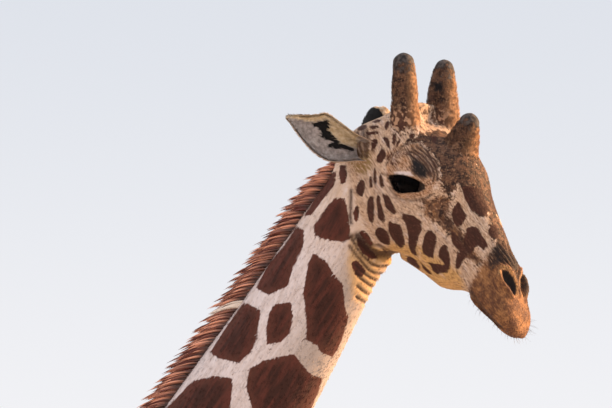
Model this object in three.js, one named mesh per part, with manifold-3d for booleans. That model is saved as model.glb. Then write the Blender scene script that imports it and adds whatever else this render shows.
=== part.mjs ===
// An adult bull reticulated giraffe as a still, life-size model.
//
// Millimetres, +Z up. The animal stands on the floor at Z = 0 and faces +X, with its right side towards -Y.
// The body lies in the XZ plane, the neck rises forward at 60 degrees, and the head hangs below it, turned to the
// animal's right. Torso, neck, legs and head are skins over stacks of rounded sections. They are joined into one
// body, which thin cuts then part into the named nodes. Every node keeps a gap of GAP to its neighbours.
import * as THREE from "three";
import { mergeVertices } from "three/addons/utils/BufferGeometryUtils.js";
import Module from "manifold-3d";

const wasm = await Module();
wasm.setup();

// ---- driving dimensions ------------------------------------------------------------------------------------

const GAP = 0.3;
const NECK_RISE = 60; // degrees above the horizon
const NECK_TOP = [1550, 0, 4450]; // where the neck's axis meets the skull
const HEAD_PIVOT = [1550, -40, 4450]; // the joint of skull and neck, the origin of the head's own frame
const HEAD_PITCH = 51; // degrees that the head's axis points below the horizon
const HEAD_TURN = 35; // degrees that the head is turned to the animal's right
const EYE_RADIUS = 33;
const LID_THICKNESS = 5;
const EYE_SIDES = 16;
const SKULL_SIDES = 28;
const LEG_SIDES = 14;
const HORN_SIDES = 12;
const EAR_LENGTH = 195;
const EAR_THICKNESS = 6;
const EAR_ROOT = 30; // length of the ear's root inside the head
const HOOF_HEIGHT = 140;
const LEG_CUT = { foreleg: 1925, hindleg: 1935 }; // heights of the cuts between torso and legs
const NECK_CUT = { head: 58, torso: 1735 }; // distances down the neck's axis of the cuts at its ends
const HIP_HEIGHT = 2200; // a leg swings fore or aft from here

// Each stack of sections is a table of columns. `at` runs along the stack, and the others give the section there:
// its middle (side, mid), its reach above and below the middle (up, down) and its half width.

// along +X, heights are absolute
const TORSO = {
  at: [-1030, -1000, -930, -800, -600, -350, -100, 150, 350, 520, 680, 810, 900, 945],
  top: [2300, 2400, 2500, 2590, 2670, 2740, 2830, 2985, 3105, 3110, 2985, 2800, 2640, 2540],
  bottom: [2170, 2090, 2030, 1990, 1975, 1945, 1895, 1868, 1880, 1925, 2010, 2130, 2270, 2370],
  half: [50, 120, 190, 255, 300, 340, 372, 385, 365, 335, 285, 215, 140, 60],
  square: [2, 2, 2.1, 2.2, 2.2, 2.2, 2.2, 2.1, 2.1, 2.1, 2.1, 2.1, 2, 2],
};

// along the neck's axis, down from the skull: reach to the nape, reach to the throat, half width, shift to the side
const NECK = {
  at: [-45, -25, 0, 80, 160, 230, 320, 440, 600, 800, 1050, 1350, 1650, 1900, 2080, 2150],
  up: [18, 50, 70, 84, 93, 99, 108, 119, 137, 158, 180, 206, 236, 268, 290, 240],
  down: [25, 66, 96, 130, 150, 143, 147, 155, 164, 180, 206, 247, 290, 330, 345, 300],
  half: [25, 58, 76, 83, 84, 84, 86, 91, 98, 108, 124, 150, 182, 215, 235, 200],
  side: [44, 42, 40, 35, 30, 26, 20, 12, 5, 0, 0, 0, 0, 0, 0, 0],
};

// along the head's axis, forward from the joint with the neck: the back of the skull to the upper lip
const HEAD = {
  at: [-92, -80, -50, 0, 50, 100, 150, 200, 250, 300, 352, 400, 428, 455, 490, 530, 563, 586, 600, 606],
  top: [34, 62, 94, 130, 166, 194, 214, 216, 202, 187, 174, 162, 156, 150, 131, 108, 89, 73, 62, 55],
  bottom: [0, -30, -66, -88, -100, -104, -100, -90, -70, -54, -37, -3, 12, 7, 11, 17, 23, 30, 37, 43],
  half: [30, 58, 84, 99, 109, 114, 114, 103, 86, 73, 63, 57, 56, 58, 61, 60, 53, 39, 22, 8],
  mid: [20, 24, 32, 44, 58, 72, 80, 78, 74, 76, 76, 76, 78, 78, 74, 66, 58, 52, 49, 49],
  square: [2, 2.1, 2.2, 2.3, 2.35, 2.4, 2.4, 2.4, 2.4, 2.4, 2.4, 2.4, 2.4, 2.4, 2.4, 2.3, 2.2, 2.1, 2, 2],
};

// down a foreleg and a hind leg: middle fore and aft, half length, distance out from the body's middle, half width
const FORELEG = {
  at: [
    2960, 2900, 2750, 2550, 2350, 2150, 1950, 1750, 1550, 1350, 1200, 1120,
    1060, 990, 920, 820, 600, 400, 330, 275, 225, 180, HOOF_HEIGHT + GAP,
  ],
  fore: [
    400, 420, 470, 540, 590, 590, 572, 565, 568, 573, 580, 588,
    590, 584, 574, 568, 565, 568, 574, 580, 590, 602, 612,
  ],
  length: [30, 80, 130, 170, 185, 165, 132, 104, 86, 72, 64, 70, 76, 70, 58, 50, 46, 47, 58, 68, 64, 68, 84],
  side: [
    235, 238, 243, 248, 248, 240, 228, 220, 215, 212, 210, 209,
    208, 207, 206, 205, 204, 203, 203, 203, 203, 203, 203,
  ],
  half: [25, 50, 80, 100, 108, 102, 90, 78, 68, 60, 57, 66, 70, 66, 54, 47, 44, 46, 57, 66, 64, 76, 99],
};
const HINDLEG = {
  at: [
    2500, 2450, 2320, 2150, 1980, 1820, 1650, 1450, 1300, 1200, 1130,
    1060, 980, 900, 800, 600, 400, 330, 275, 225, 180, HOOF_HEIGHT + GAP,
  ],
  fore: [
    -700, -700, -690, -665, -655, -675, -722, -800, -860, -905, -928,
    -925, -912, -900, -890, -878, -868, -862, -856, -846, -834, -824,
  ],
  length: [40, 130, 235, 280, 250, 188, 134, 94, 76, 80, 88, 78, 64, 55, 50, 46, 47, 58, 68, 64, 68, 84],
  side: [
    200, 205, 215, 222, 222, 220, 216, 212, 209, 208, 207,
    206, 205, 204, 203, 202, 202, 202, 202, 202, 202, 202,
  ],
  half: [20, 50, 85, 108, 106, 92, 78, 62, 54, 56, 60, 57, 51, 48, 46, 43, 45, 56, 65, 63, 74, 97],
};
// how far each foot stands ahead of its table
const STRIDE = { foreleg_right: 70, foreleg_left: -60, hindleg_right: -50, hindleg_left: 80 };

// Swellings (+) and hollows (-) of the face: where, how far they reach along the head's axes, and how high they rise.
// Each one off the middle has a twin on the other side.
const FACE = [
  { at: [150, 104, 138], reach: [58, 34, 24], rise: 15 }, // brow over the eye
  { at: [205, 100, 82], reach: [34, 30, 26], rise: -7 }, // in front of the eye
  { at: [118, 96, 20], reach: [80, 40, 62], rise: 8 }, // cheek muscle
  { at: [262, 84, 118], reach: [60, 26, 30], rise: -8 }, // hollow below the forehead
  { at: [330, 66, 30], reach: [70, 26, 26], rise: -5 }, // between the jaw and the tooth row
  { at: [488, 50, 122], reach: [36, 20, 18], rise: 12 }, // wing of the nostril
  { at: [430, 58, 96], reach: [38, 22, 30], rise: -6 }, // behind the nostril
  { at: [545, 46, 66], reach: [40, 26, 26], rise: 7 }, // upper lip
  { at: [20, 92, 60], reach: [40, 30, 40], rise: 6 }, // root of the ear
  { at: [455, 0, 148], reach: [40, 30, 14], rise: 4 }, // end of the nose bone
  { at: [372, 30, -22], reach: [34, 30, 22], rise: 8 }, // chin pad
  { at: [-24, 0, 118], reach: [38, 64, 60], rise: 90 }, // crown between the horns
  { at: [45, 0, 165], reach: [55, 60, 60], rise: 26 }, // front of the crown
  { at: [-78, 0, 80], reach: [34, 70, 60], rise: 20 }, // poll
];

// A horn is a tapering cone with a round end: root, tip, and its radius at the root, at mid length and at the tip.
const HORNS = {
  ossicone_right: { root: [66, -62, 118], tip: [-91, -81, 253], radii: [42, 35, 29] },
  ossicone_left: { root: [76, 66, 124], tip: [-90, 79, 262], radii: [55, 44, 28] },
  ossicone_median: { root: [170, 0, 150], tip: [105, 0, 263], radii: [77, 47, 29] },
};

const EYE = [151, 93, 89]; // middle of the left eyeball
const EYE_TILT = 38; // degrees that the slit of the eye rises to the front, in the head's frame
// the opening between the lids, along the slit from its back corner: its edges above and below
const EYE_SLIT = {
  at: [-45, -34, -18, 0, 20, 38, 47],
  top: [8, 11, 12.5, 13, 11, 6, 1],
  bottom: [6, -8, -18, -21, -16, -9, -3],
};
const NOSTRIL = { at: [507, 50, 117], radii: [36, 16, 9], tilt: -8 };
// the line of the mouth from its corner to the front of the lips, along the head's axis and up
const MOUTH = {
  line: [[386, 58], [412, 36], [450, 24], [500, 25], [560, 34], [600, 43], [630, 50]],
  open: 3,
  deep: 7,
  across: 180,
};

// An ear leaves its root along its own axis, and its cup opens towards `open`. The left one is laid back, and its
// outer part bends towards its cup by `curl` degrees.
const EARS = {
  ear_right: { root: [-24, -96, 42], along: [-104, -156, -40], open: [0.59, -0.56, 0.57], curl: 0 },
  ear_left: { root: [-36, 78, 48], along: [-193, -12, -19], open: [-0.12, 0.99, 0.04], curl: 98 },
};
const EAR_CURL = [0.52, 0.95]; // shares of the length between which it bends
// shares of the length, reach to the upper and the lower edge, and how far each edge stands in front of the middle
const EAR_FORM = {
  at: [0, 0.14, 0.28, 0.45, 0.62, 0.7, 0.78, 0.86, 0.92, 1],
  upper: [10, 12, 15, 27, 39, 30, 21.5, 15, 10, 3],
  lower: [36, 44, 58, 68, 59, 49.5, 39, 26, 15, 3],
  upperWall: [48, 54, 52, 44, 25, 19, 14, 9.5, 6, 2],
  lowerWall: [44, 42, 36, 28, 20, 16, 13, 9, 6, 2],
};

// The mane stands on the nape from `from` to `to` down the neck: how far its tips reach out and lean back, how far
// apart its locks are and how wide and thick, and the height of its core. The roots are sunk into the neck.
const MANE = { from: 8, to: 1665, height: 50, lean: 92, spacing: 36, width: 36, thick: 11, core: 24, sunk: 12 };

// The tail hangs clear of the hind legs.
const TAIL = {
  points: [
    [-960, 0, 2440], [-1030, 0, 2370], [-1085, 0, 2200],
    [-1108, 6, 1950], [-1112, 12, 1700], [-1106, 14, 1480],
  ],
  radii: [62, 52, 38, 30, 25, 20],
};
// The tuft of long hair hangs from the tail's lower end: heights of its top, of its core's end and of its tips.
const TUFT = { top: 1640, core: 1330, tip: 960, at: [-1110, 14], locks: 13, width: 36, thick: 11, spread: 32 };

// up one toe from its sole: middle fore and aft, half length, half width; and how far the two toes stand apart
const TOE = {
  at: [0, 12, 70, HOOF_HEIGHT],
  fore: [34, 34, 16, 0],
  length: [128, 132, 108, 82],
  half: [50, 52, 50, 47],
  cleft: 4, // how much of the half width the flat inner side takes off
  apart: 9,
};

// ---- geometry helpers --------------------------------------------------------------------------------------

const radians = THREE.MathUtils.degToRad;

/** Numbers from 0 to 1 that are the same on each run. */
function seeded(seed) {
  let state = seed;
  return () => {
    state = (state * 16807) % 2147483647;
    return (state % 100000) / 100000;
  };
}

/** The value at x of a smooth curve through (at[i], value[i]): cubic pieces with three-point slopes. */
function through(at, value, x) {
  const last = at.length - 1;
  const t = THREE.MathUtils.clamp(x, Math.min(at[0], at[last]), Math.max(at[0], at[last]));
  const rising = at[last] > at[0] ? 1 : -1;
  let i = 0;
  while (i < last - 1 && rising * (t - at[i + 1]) > 0) i++;
  const slope = (k) => {
    const a = Math.max(k - 1, 0);
    const b = Math.min(k + 1, last);
    return (value[b] - value[a]) / (at[b] - at[a]);
  };
  const span = at[i + 1] - at[i];
  const u = (t - at[i]) / span;
  const h = [2 * u ** 3 - 3 * u ** 2 + 1, u ** 3 - 2 * u ** 2 + u, 3 * u ** 2 - 2 * u ** 3, u ** 3 - u ** 2];
  return h[0] * value[i] + h[1] * span * slope(i) + h[2] * value[i + 1] + h[3] * span * slope(i + 1);
}

/** A closed geometry over rings of as many points each, with a fan over each end. */
function closedOver(rings) {
  const sides = rings[0].length;
  const points = rings.flat();
  const faces = [];
  for (let r = 0; r < rings.length - 1; r++) {
    for (let s = 0; s < sides; s++) {
      const a = r * sides + s;
      const b = r * sides + ((s + 1) % sides);
      faces.push(a, b, b + sides, a, b + sides, a + sides);
    }
  }
  for (const [ring, outward] of [[0, false], [rings.length - 1, true]]) {
    const middle = new THREE.Vector3();
    rings[ring].forEach((p) => middle.addScaledVector(p, 1 / sides));
    points.push(middle);
    for (let s = 0; s < sides; s++) {
      const a = ring * sides + s;
      const b = ring * sides + ((s + 1) % sides);
      faces.push(...(outward ? [a, b, points.length - 1] : [b, a, points.length - 1]));
    }
  }
  const geometry = new THREE.BufferGeometry().setFromPoints(points);
  return geometry.setIndex(faces);
}

/** A manifold solid of a closed geometry, turned right side out if need be. */
function solid(geometry) {
  const bare = new THREE.BufferGeometry();
  bare.setAttribute("position", (geometry.index ? geometry.toNonIndexed() : geometry).getAttribute("position"));
  const merged = mergeVertices(bare, 1e-3);
  const corners = new Uint32Array(merged.index.array);
  const vertProperties = merged.attributes.position.array;
  const make = () => new wasm.Manifold(new wasm.Mesh({ numProp: 3, vertProperties, triVerts: corners }));
  const made = make();
  if (made.volume() >= 0) return made;
  for (let i = 0; i < corners.length; i += 3) [corners[i + 1], corners[i + 2]] = [corners[i + 2], corners[i + 1]];
  return make();
}

/** The largest closed surface of a solid, without loose scraps or sealed hollows. */
const largest = (shape) => shape.decompose().sort((a, b) => b.volume() - a.volume())[0];

const join = (shapes) => shapes.reduce((all, shape) => all.add(shape));

function geometryOf(shape) {
  const mesh = shape.getMesh();
  const position = new Float32Array(mesh.numVert * 3);
  for (let i = 0; i < mesh.numVert; i++) {
    position.set(mesh.vertProperties.subarray(i * mesh.numProp, i * mesh.numProp + 3), i * 3);
  }
  const geometry = new THREE.BufferGeometry();
  geometry.setAttribute("position", new THREE.BufferAttribute(position, 3));
  geometry.setIndex(new THREE.BufferAttribute(mesh.triVerts, 1));
  return geometry;
}

/** Positions along a stack: every station, and `between` more in each interval. */
function positions(at, between) {
  return at.flatMap((from, i) => {
    if (i === at.length - 1) return [from];
    return Array.from({ length: between + 1 }, (_, k) => from + ((at[i + 1] - from) * k) / (between + 1));
  });
}

/** A point of a rounded section: |y / half| ** square + |z / reach| ** square = 1. */
function sectionPoint(angle, { half, up, down, square }) {
  const round = (v) => Math.sign(v) * Math.abs(v) ** (2 / square);
  const z = round(Math.sin(angle));
  return [half * round(Math.cos(angle)), z * (z > 0 ? up : down)];
}

/** A skin over a stack of sections. `section(t)` gives each one, and `place(t, y, z)` its points in the frame. */
function stack(at, between, sides, section, place, grow = 0) {
  const rings = positions(at, between).map((t) => {
    const s = section(t);
    const grown = { half: s.half + grow, up: s.up + grow, down: s.down + grow, square: s.square };
    return Array.from({ length: sides }, (_, k) => {
      const [y, z] = sectionPoint((2 * Math.PI * k) / sides, grown);
      return place(t, y + s.side, z + s.mid);
    });
  });
  return solid(closedOver(rings));
}

// ---- the four stacks ---------------------------------------------------------------------------------------

const headFrame = new THREE.Matrix4()
  .makeTranslation(...HEAD_PIVOT)
  .multiply(new THREE.Matrix4().makeRotationZ(radians(-HEAD_TURN)))
  .multiply(new THREE.Matrix4().makeRotationY(radians(HEAD_PITCH)));

const neckDown = new THREE.Vector3(-Math.cos(radians(NECK_RISE)), 0, -Math.sin(radians(NECK_RISE)));
const neckBack = new THREE.Vector3(-Math.sin(radians(NECK_RISE)), 0, Math.cos(radians(NECK_RISE)));

/** A point of the neck: t down the axis, y to the animal's left, z out at the nape. */
const onNeck = (t, y, z) =>
  new THREE.Vector3(NECK_TOP[0], NECK_TOP[1] + y, NECK_TOP[2]).addScaledVector(neckDown, t).addScaledVector(neckBack, z);

const inHead = (x, y, z) => new THREE.Vector3(x, y, z).applyMatrix4(headFrame);

function torso(grow = 0) {
  const section = (t) => {
    const top = through(TORSO.at, TORSO.top, t);
    const bottom = through(TORSO.at, TORSO.bottom, t);
    const reach = (top - bottom) / 2;
    return {
      half: through(TORSO.at, TORSO.half, t), up: reach, down: reach,
      side: 0, mid: bottom + reach, square: through(TORSO.at, TORSO.square, t),
    };
  };
  return stack(TORSO.at, 0, 28, section, (t, y, z) => new THREE.Vector3(t, y, z), grow);
}

function neck(grow = 0) {
  const section = (t) => ({
    half: through(NECK.at, NECK.half, t), up: through(NECK.at, NECK.up, t), down: through(NECK.at, NECK.down, t),
    side: -through(NECK.at, NECK.side, t), mid: 0, square: 2,
  });
  return stack(NECK.at, 0, 24, section, onNeck, grow);
}

/** How far the face's swellings and hollows push a point of the head outwards. */
function faceRise(x, y, z) {
  return FACE.reduce((sum, f) => {
    const twins = f.at[1] ? [1, -1] : [1];
    return sum + twins.reduce((rise, side) => {
      const d = [x - f.at[0], y - side * f.at[1], z - f.at[2]].map((v, i) => v / f.reach[i]);
      return rise + f.rise * Math.exp(-(d[0] ** 2 + d[1] ** 2 + d[2] ** 2));
    }, 0);
  }, 0);
}

/** The bare skull and face without horns, ears or lids. */
function skull(between, sides, grow = 0) {
  const section = (t) => {
    const mid = through(HEAD.at, HEAD.mid, t);
    return {
      half: through(HEAD.at, HEAD.half, t), up: through(HEAD.at, HEAD.top, t) - mid,
      down: mid - through(HEAD.at, HEAD.bottom, t), side: 0, mid, square: through(HEAD.at, HEAD.square, t),
    };
  };
  const place = (t, y, z) => {
    const middle = through(HEAD.at, HEAD.mid, t);
    const out = new THREE.Vector2(y, z - middle);
    const rise = faceRise(t, y, z);
    const reach = out.length();
    if (reach > 1 && reach + rise > 0) out.setLength(reach + rise);
    return inHead(t, out.x, out.y + middle);
  };
  return stack(HEAD.at, between, sides, section, place, grow);
}

/** A leg as a stack of level sections, with its foot moved fore or aft by the stride. */
function leg(table, stride, side) {
  const section = (z) => {
    const reach = through(table.at, table.length, z);
    return {
      half: through(table.at, table.half, z), up: reach, down: reach,
      side: through(table.at, table.side, z), mid: through(table.at, table.fore, z), square: 2,
    };
  };
  const place = (z, y, x) => new THREE.Vector3(x + stride * Math.max(0, 1 - z / HIP_HEIGHT), side * y, z);
  return stack(table.at, 0, LEG_SIDES, section, place);
}

// ---- the head's own pieces ---------------------------------------------------------------------------------

/** A tapering horn with a round end, from root to tip in the head's frame. */
function horn({ root, tip, radii }) {
  const from = new THREE.Vector3(...root);
  const along = new THREE.Vector3(...tip).sub(from);
  const length = along.length();
  const end = radii[2];
  const profile = [new THREE.Vector2(0, 0)];
  for (const share of [0, 0.25, 0.5, 0.75, 1]) {
    profile.push(new THREE.Vector2(through([0, 0.5, 1], radii, share), share * length));
  }
  for (const angle of [30, 60]) {
    profile.push(new THREE.Vector2(end * Math.cos(radians(angle)), length + end * Math.sin(radians(angle))));
  }
  profile.push(new THREE.Vector2(0, length + end));
  const lathe = new THREE.LatheGeometry(profile, HORN_SIDES);
  const turn = new THREE.Quaternion().setFromUnitVectors(new THREE.Vector3(0, 1, 0), along.normalize());
  lathe.applyMatrix4(new THREE.Matrix4().compose(from, turn, new THREE.Vector3(1, 1, 1)));
  return solid(lathe.applyMatrix4(headFrame));
}

/** The frame of one eye: its middle, with x along the slit and y out of the head. */
function eyeFrame(side) {
  const tilt = new THREE.Matrix4().makeRotationY(radians(-EYE_TILT));
  const local = new THREE.Matrix4().makeTranslation(EYE[0], side * EYE[1], EYE[2]).multiply(tilt);
  return headFrame.clone().multiply(local);
}

/** A ball round one eye's middle. */
function eyeBall(side, radius) {
  return solid(new THREE.SphereGeometry(radius, EYE_SIDES, EYE_SIDES / 2).applyMatrix4(eyeFrame(side)));
}

/** The almond between the lids, as a prism out of the head. */
function eyeOpening(side) {
  const edge = (heights) => EYE_SLIT.at.map((along, i) => new THREE.Vector2(along, heights[i]));
  const almond = new THREE.Shape([...edge(EYE_SLIT.bottom), ...edge(EYE_SLIT.top).reverse()]);
  const reach = EYE_RADIUS + 3 * LID_THICKNESS;
  const prism = new THREE.ExtrudeGeometry(almond, { depth: reach, bevelEnabled: false });
  prism.rotateX(radians(side > 0 ? -90 : 90));
  return solid(prism.applyMatrix4(eyeFrame(side)));
}

/** One nostril's hollow: a flat ball let into the side of the muzzle. */
function nostril(side) {
  const hollow = new THREE.SphereGeometry(1, 12, 6).scale(...NOSTRIL.radii);
  hollow.rotateZ(radians(side * NOSTRIL.tilt));
  return solid(hollow.translate(NOSTRIL.at[0], side * NOSTRIL.at[1], NOSTRIL.at[2]).applyMatrix4(headFrame));
}

/** The groove between the lips: a thin bent slab, less the head's own core. */
function mouthGroove() {
  const points = new THREE.SplineCurve(MOUTH.line.map((p) => new THREE.Vector2(...p))).getPoints(10);
  const outline = points.concat(points.map((p) => new THREE.Vector2(p.x, p.y - MOUTH.open)).reverse());
  const slab = new THREE.ExtrudeGeometry(new THREE.Shape(outline), { depth: MOUTH.across, bevelEnabled: false });
  slab.translate(0, 0, -MOUTH.across / 2).rotateX(radians(90));
  return solid(slab.applyMatrix4(headFrame)).subtract(skull(0, 16, -MOUTH.deep));
}

/** The middle of an ear's leaf from root to tip: points, each with the way out of the cup there. */
function earLine({ root, along, open, curl }) {
  const steps = 100;
  const axis = new THREE.Vector3(...along).normalize();
  const front = new THREE.Vector3(...open).projectOnPlane(axis).normalize();
  const point = new THREE.Vector3(...root).addScaledVector(axis, -EAR_ROOT);
  return Array.from({ length: steps + 1 }, (_, i) => {
    const turn = radians(curl) * THREE.MathUtils.smoothstep(i / steps, ...EAR_CURL);
    const way = axis.clone().multiplyScalar(Math.cos(turn)).addScaledVector(front, Math.sin(turn));
    const out = front.clone().multiplyScalar(Math.cos(turn)).addScaledVector(axis, -Math.sin(turn));
    const here = point.clone();
    point.addScaledVector(way, (EAR_LENGTH + EAR_ROOT) / steps);
    return { here, out, up: way.cross(out).multiplyScalar(-Math.sign(root[1])) };
  });
}

/** A cupped leaf, as thick as an ear: rows from root to tip, each a curved strip with a front and a back. */
function ear(form) {
  const line = earLine(form);
  const columns = 8;
  const rings = EAR_FORM.at.map((share) => {
    const { here, out, up } = line[Math.round(share * (line.length - 1))];
    const thick = EAR_THICKNESS * (1 - 0.6 * share ** 2);
    const strip = (inset) =>
      Array.from({ length: columns + 1 }, (_, c) => {
        const bend = ((2 * c) / columns - 1) * (Math.PI / 2);
        const [edge, wall] = bend > 0 ? [EAR_FORM.upper, EAR_FORM.upperWall] : [EAR_FORM.lower, EAR_FORM.lowerWall];
        const side = (through(EAR_FORM.at, edge, share) - inset) * Math.sin(bend);
        const rise = through(EAR_FORM.at, wall, share) * (1 - Math.cos(bend)) + inset * Math.cos(bend);
        return here.clone().addScaledVector(up, side).addScaledVector(out, rise);
      });
    return [...strip(0), ...strip(thick).reverse()];
  });
  return solid(closedOver(rings).applyMatrix4(headFrame));
}

// ---- mane and tail -----------------------------------------------------------------------------------------

/** A point of the mane: out from the nape's ridge at t. */
const onNape = (t, y, out) => onNeck(t, y - through(NECK.at, NECK.side, t), through(NECK.at, NECK.up, t) + out);

/** The close-set roots of the mane, as a low crest that reaches half way to the tips. */
function maneCore(grow = 0) {
  const steps = 24;
  const sunk = -MANE.sunk - grow;
  const half = MANE.thick / 2 + grow;
  const rings = Array.from({ length: steps + 1 }, (_, i) => {
    const t = MANE.from - grow + ((MANE.to - MANE.from + 2 * grow) * i) / steps;
    const high = MANE.core * Math.min(1, 0.2 + (4 * Math.min(i, steps - i)) / steps);
    return [onNape(t, half, sunk), onNape(t + high / 2, half * 0.8, high / 2), onNape(t + high, 0, high + grow),
      onNape(t + high / 2, -half * 0.8, high / 2), onNape(t, -half, sunk)];
  });
  return solid(closedOver(rings));
}

/** A flat, tapered lock: a lens of four corners carried along a path, wide along `across`. */
function lock(path, width, thick, across) {
  const last = path.length - 1;
  const rings = path.map((point, i) => {
    const tangent = path[Math.min(i + 1, last)].clone().sub(path[Math.max(i - 1, 0)]).normalize();
    const flat = across.clone().addScaledVector(tangent, -across.dot(tangent)).normalize();
    const normal = tangent.cross(flat);
    const taper = through([0, 0.35, 0.75, 1], [0.85, 1, 0.62, 0.06], i / last);
    return [[flat, width], [normal, thick], [flat, -width], [normal, -thick]]
      .map(([direction, size]) => point.clone().addScaledVector(direction, (size * taper) / 2));
  });
  return solid(closedOver(rings));
}

/** The locks of the mane: they rise from the nape, bend back along it and lean to either side in turn. */
function maneLocks() {
  const random = seeded(5);
  const count = Math.round((MANE.to - MANE.from) / MANE.spacing);
  const bends = 5;
  return Array.from({ length: count }, (_, k) => {
    const t = MANE.from + (k + 0.3 * random()) * MANE.spacing;
    const size = (0.86 + 0.24 * random()) * Math.min(1, 0.6 + 0.1 * k, 0.5 + 0.09 * (count - k));
    const side = (k % 2 ? 1 : -1) * (7 + 5 * random());
    const path = Array.from({ length: bends }, (_, i) => {
      const s = i / (bends - 1);
      const back = size * MANE.lean * (0.4 * s + 0.6 * s * s);
      const out = (MANE.sunk + size * MANE.height) * (1.35 * s - 0.35 * s * s) - MANE.sunk;
      return onNape(t + back, side * (0.35 + 0.65 * s), out);
    });
    return lock(path, MANE.width * (0.9 + 0.2 * random()), MANE.thick, neckDown);
  });
}

function tailTube() {
  const curve = new THREE.CatmullRomCurve3(TAIL.points.map((p) => new THREE.Vector3(...p)));
  const steps = 14;
  const sides = 10;
  const frames = curve.computeFrenetFrames(steps);
  const marks = TAIL.radii.map((_, i) => i / (TAIL.radii.length - 1));
  const rings = Array.from({ length: steps + 1 }, (_, i) => {
    const radius = through(marks, TAIL.radii, i / steps);
    const middle = curve.getPointAt(i / steps);
    return Array.from({ length: sides }, (_, k) => {
      const angle = (2 * Math.PI * k) / sides;
      return middle.clone().addScaledVector(frames.normals[i], radius * Math.cos(angle))
        .addScaledVector(frames.binormals[i], radius * Math.sin(angle));
    });
  });
  return solid(closedOver(rings));
}

/** The close-set roots of the tuft, tapering down to half way along its hair. */
function tuftCore() {
  const length = TUFT.top - TUFT.core;
  const profile = [[0, 0], [14, 0.25 * length], [22, length], [0, length]];
  const core = new THREE.LatheGeometry(profile.map((p) => new THREE.Vector2(...p)), 8).rotateX(radians(90));
  return solid(core.translate(...TUFT.at, TUFT.core));
}

/** The locks of the tuft: rooted round the core from its top down, each falls outwards and then hangs. */
function tuftLocks() {
  const random = seeded(11);
  const bends = 5;
  return Array.from({ length: TUFT.locks }, (_, k) => {
    const share = k / (TUFT.locks - 1);
    const top = TUFT.top - 40 - 250 * share;
    const fall = top - TUFT.tip - 190 * random();
    const angle = k * 2.4 + 0.4 * random();
    const out = new THREE.Vector3(Math.cos(angle), Math.sin(angle), 0);
    const sway = 12 * (random() - 0.5);
    const spread = TUFT.spread * (0.7 + 0.5 * random()) - 10 * share;
    const across = new THREE.Vector3(-out.y, out.x, 0);
    const path = Array.from({ length: bends }, (_, i) => {
      const s = i / (bends - 1);
      const away = 8 + spread * Math.sin(Math.PI * Math.min(s, 0.62)) * (1 - 0.35 * s);
      return new THREE.Vector3(...TUFT.at, top - fall * s).addScaledVector(out, away)
        .addScaledVector(across, sway * Math.sin(2.6 * s));
    });
    return lock(path, TUFT.width, TUFT.thick, across);
  });
}

// ---- hooves ------------------------------------------------------------------------------------------------

/** One toe: a wedge with a flat sole, sloping forward, its inner side flat along the cleft. */
function toe(ankle, side) {
  const section = (z) => {
    const reach = through(TOE.at, TOE.length, z);
    return {
      half: through(TOE.at, TOE.half, z), up: reach, down: 0.8 * reach,
      side: 0, mid: through(TOE.at, TOE.fore, z), square: 2.6,
    };
  };
  const middle = TOE.half[0] - TOE.cleft;
  const place = (z, y, x) => {
    const outward = Math.max(side * y, -middle) + middle + TOE.apart / 2;
    return new THREE.Vector3(ankle.x + x, ankle.y + side * outward, z);
  };
  return stack(TOE.at, 0, 14, section, place);
}

// ---- the whole animal, parted into its nodes ---------------------------------------------------------------

/** A box given by its lowest and highest corners, optionally carried into another frame. */
function box(low, high, frame = new THREE.Matrix4()) {
  const size = high.map((v, i) => v - low[i]);
  const made = new THREE.BoxGeometry(...size).translate(...low.map((v, i) => v + size[i] / 2));
  return solid(made.applyMatrix4(frame));
}

const FAR = 5000; // beyond the animal on every side
const tables = { foreleg: FORELEG, hindleg: HINDLEG };
const legNames = Object.keys(STRIDE);
const kindOf = (name) => name.split("_")[0];
const sideOf = (name) => (name.endsWith("left") ? 1 : -1);

const neckFrame = new THREE.Matrix4()
  .makeBasis(neckDown, new THREE.Vector3(0, -1, 0), neckBack)
  .setPosition(...NECK_TOP);

/** The space between two cuts across the neck's axis. */
const alongNeck = (from, to) => box([from, -FAR, -FAR], [to, FAR, FAR], neckFrame);

const grownSkull = skull(1, SKULL_SIDES, GAP);
const grownTrunk = torso(GAP);

function neckNode() {
  const hair = join([neck(), maneCore(), ...maneLocks()]);
  return largest(hair.intersect(alongNeck(NECK_CUT.head, NECK_CUT.torso)).subtract(grownSkull));
}

/** One leg below its cut, clear of the chest or belly. */
function legNode(name) {
  const below = box([-FAR, -FAR, 0], [FAR, FAR, LEG_CUT[kindOf(name)]]);
  return largest(leg(tables[kindOf(name)], STRIDE[name], sideOf(name)).intersect(below).subtract(grownTrunk));
}

/** The trunk with the legs above their cuts and the neck's base, less the neck's own space. */
function torsoNode() {
  const upperLegs = legNames.map((name) => {
    const above = box([-FAR, -FAR, LEG_CUT[kindOf(name)] + GAP], [FAR, FAR, FAR]);
    return leg(tables[kindOf(name)], STRIDE[name], sideOf(name)).intersect(above);
  });
  const neckBase = neck().intersect(alongNeck(NECK_CUT.torso + GAP, FAR));
  const neckSpace = neck(GAP).add(maneCore(GAP)).intersect(alongNeck(NECK_CUT.head, NECK_CUT.torso + GAP));
  return largest(join([torso(), ...upperLegs, neckBase]).subtract(neckSpace));
}

/** The skull with the top of the neck, the lids round both eyes, the nostrils and the line of the mouth. */
function headNode() {
  const neckEnd = neck().intersect(alongNeck(-FAR, NECK_CUT.head - GAP));
  const both = [1, -1];
  const lids = both.map((side) => eyeBall(side, EYE_RADIUS + LID_THICKNESS));
  const hollows = both.flatMap((side) => [eyeOpening(side), nostril(side), eyeBall(side, EYE_RADIUS + GAP)]);
  return largest(join([skull(1, SKULL_SIDES), ...lids, neckEnd]).subtract(join([...hollows, mouthGroove()])));
}

function tailNode() {
  const above = box([-FAR, -FAR, TUFT.top + GAP], [FAR, FAR, FAR]);
  return largest(tailTube().intersect(above).subtract(grownTrunk));
}

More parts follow.
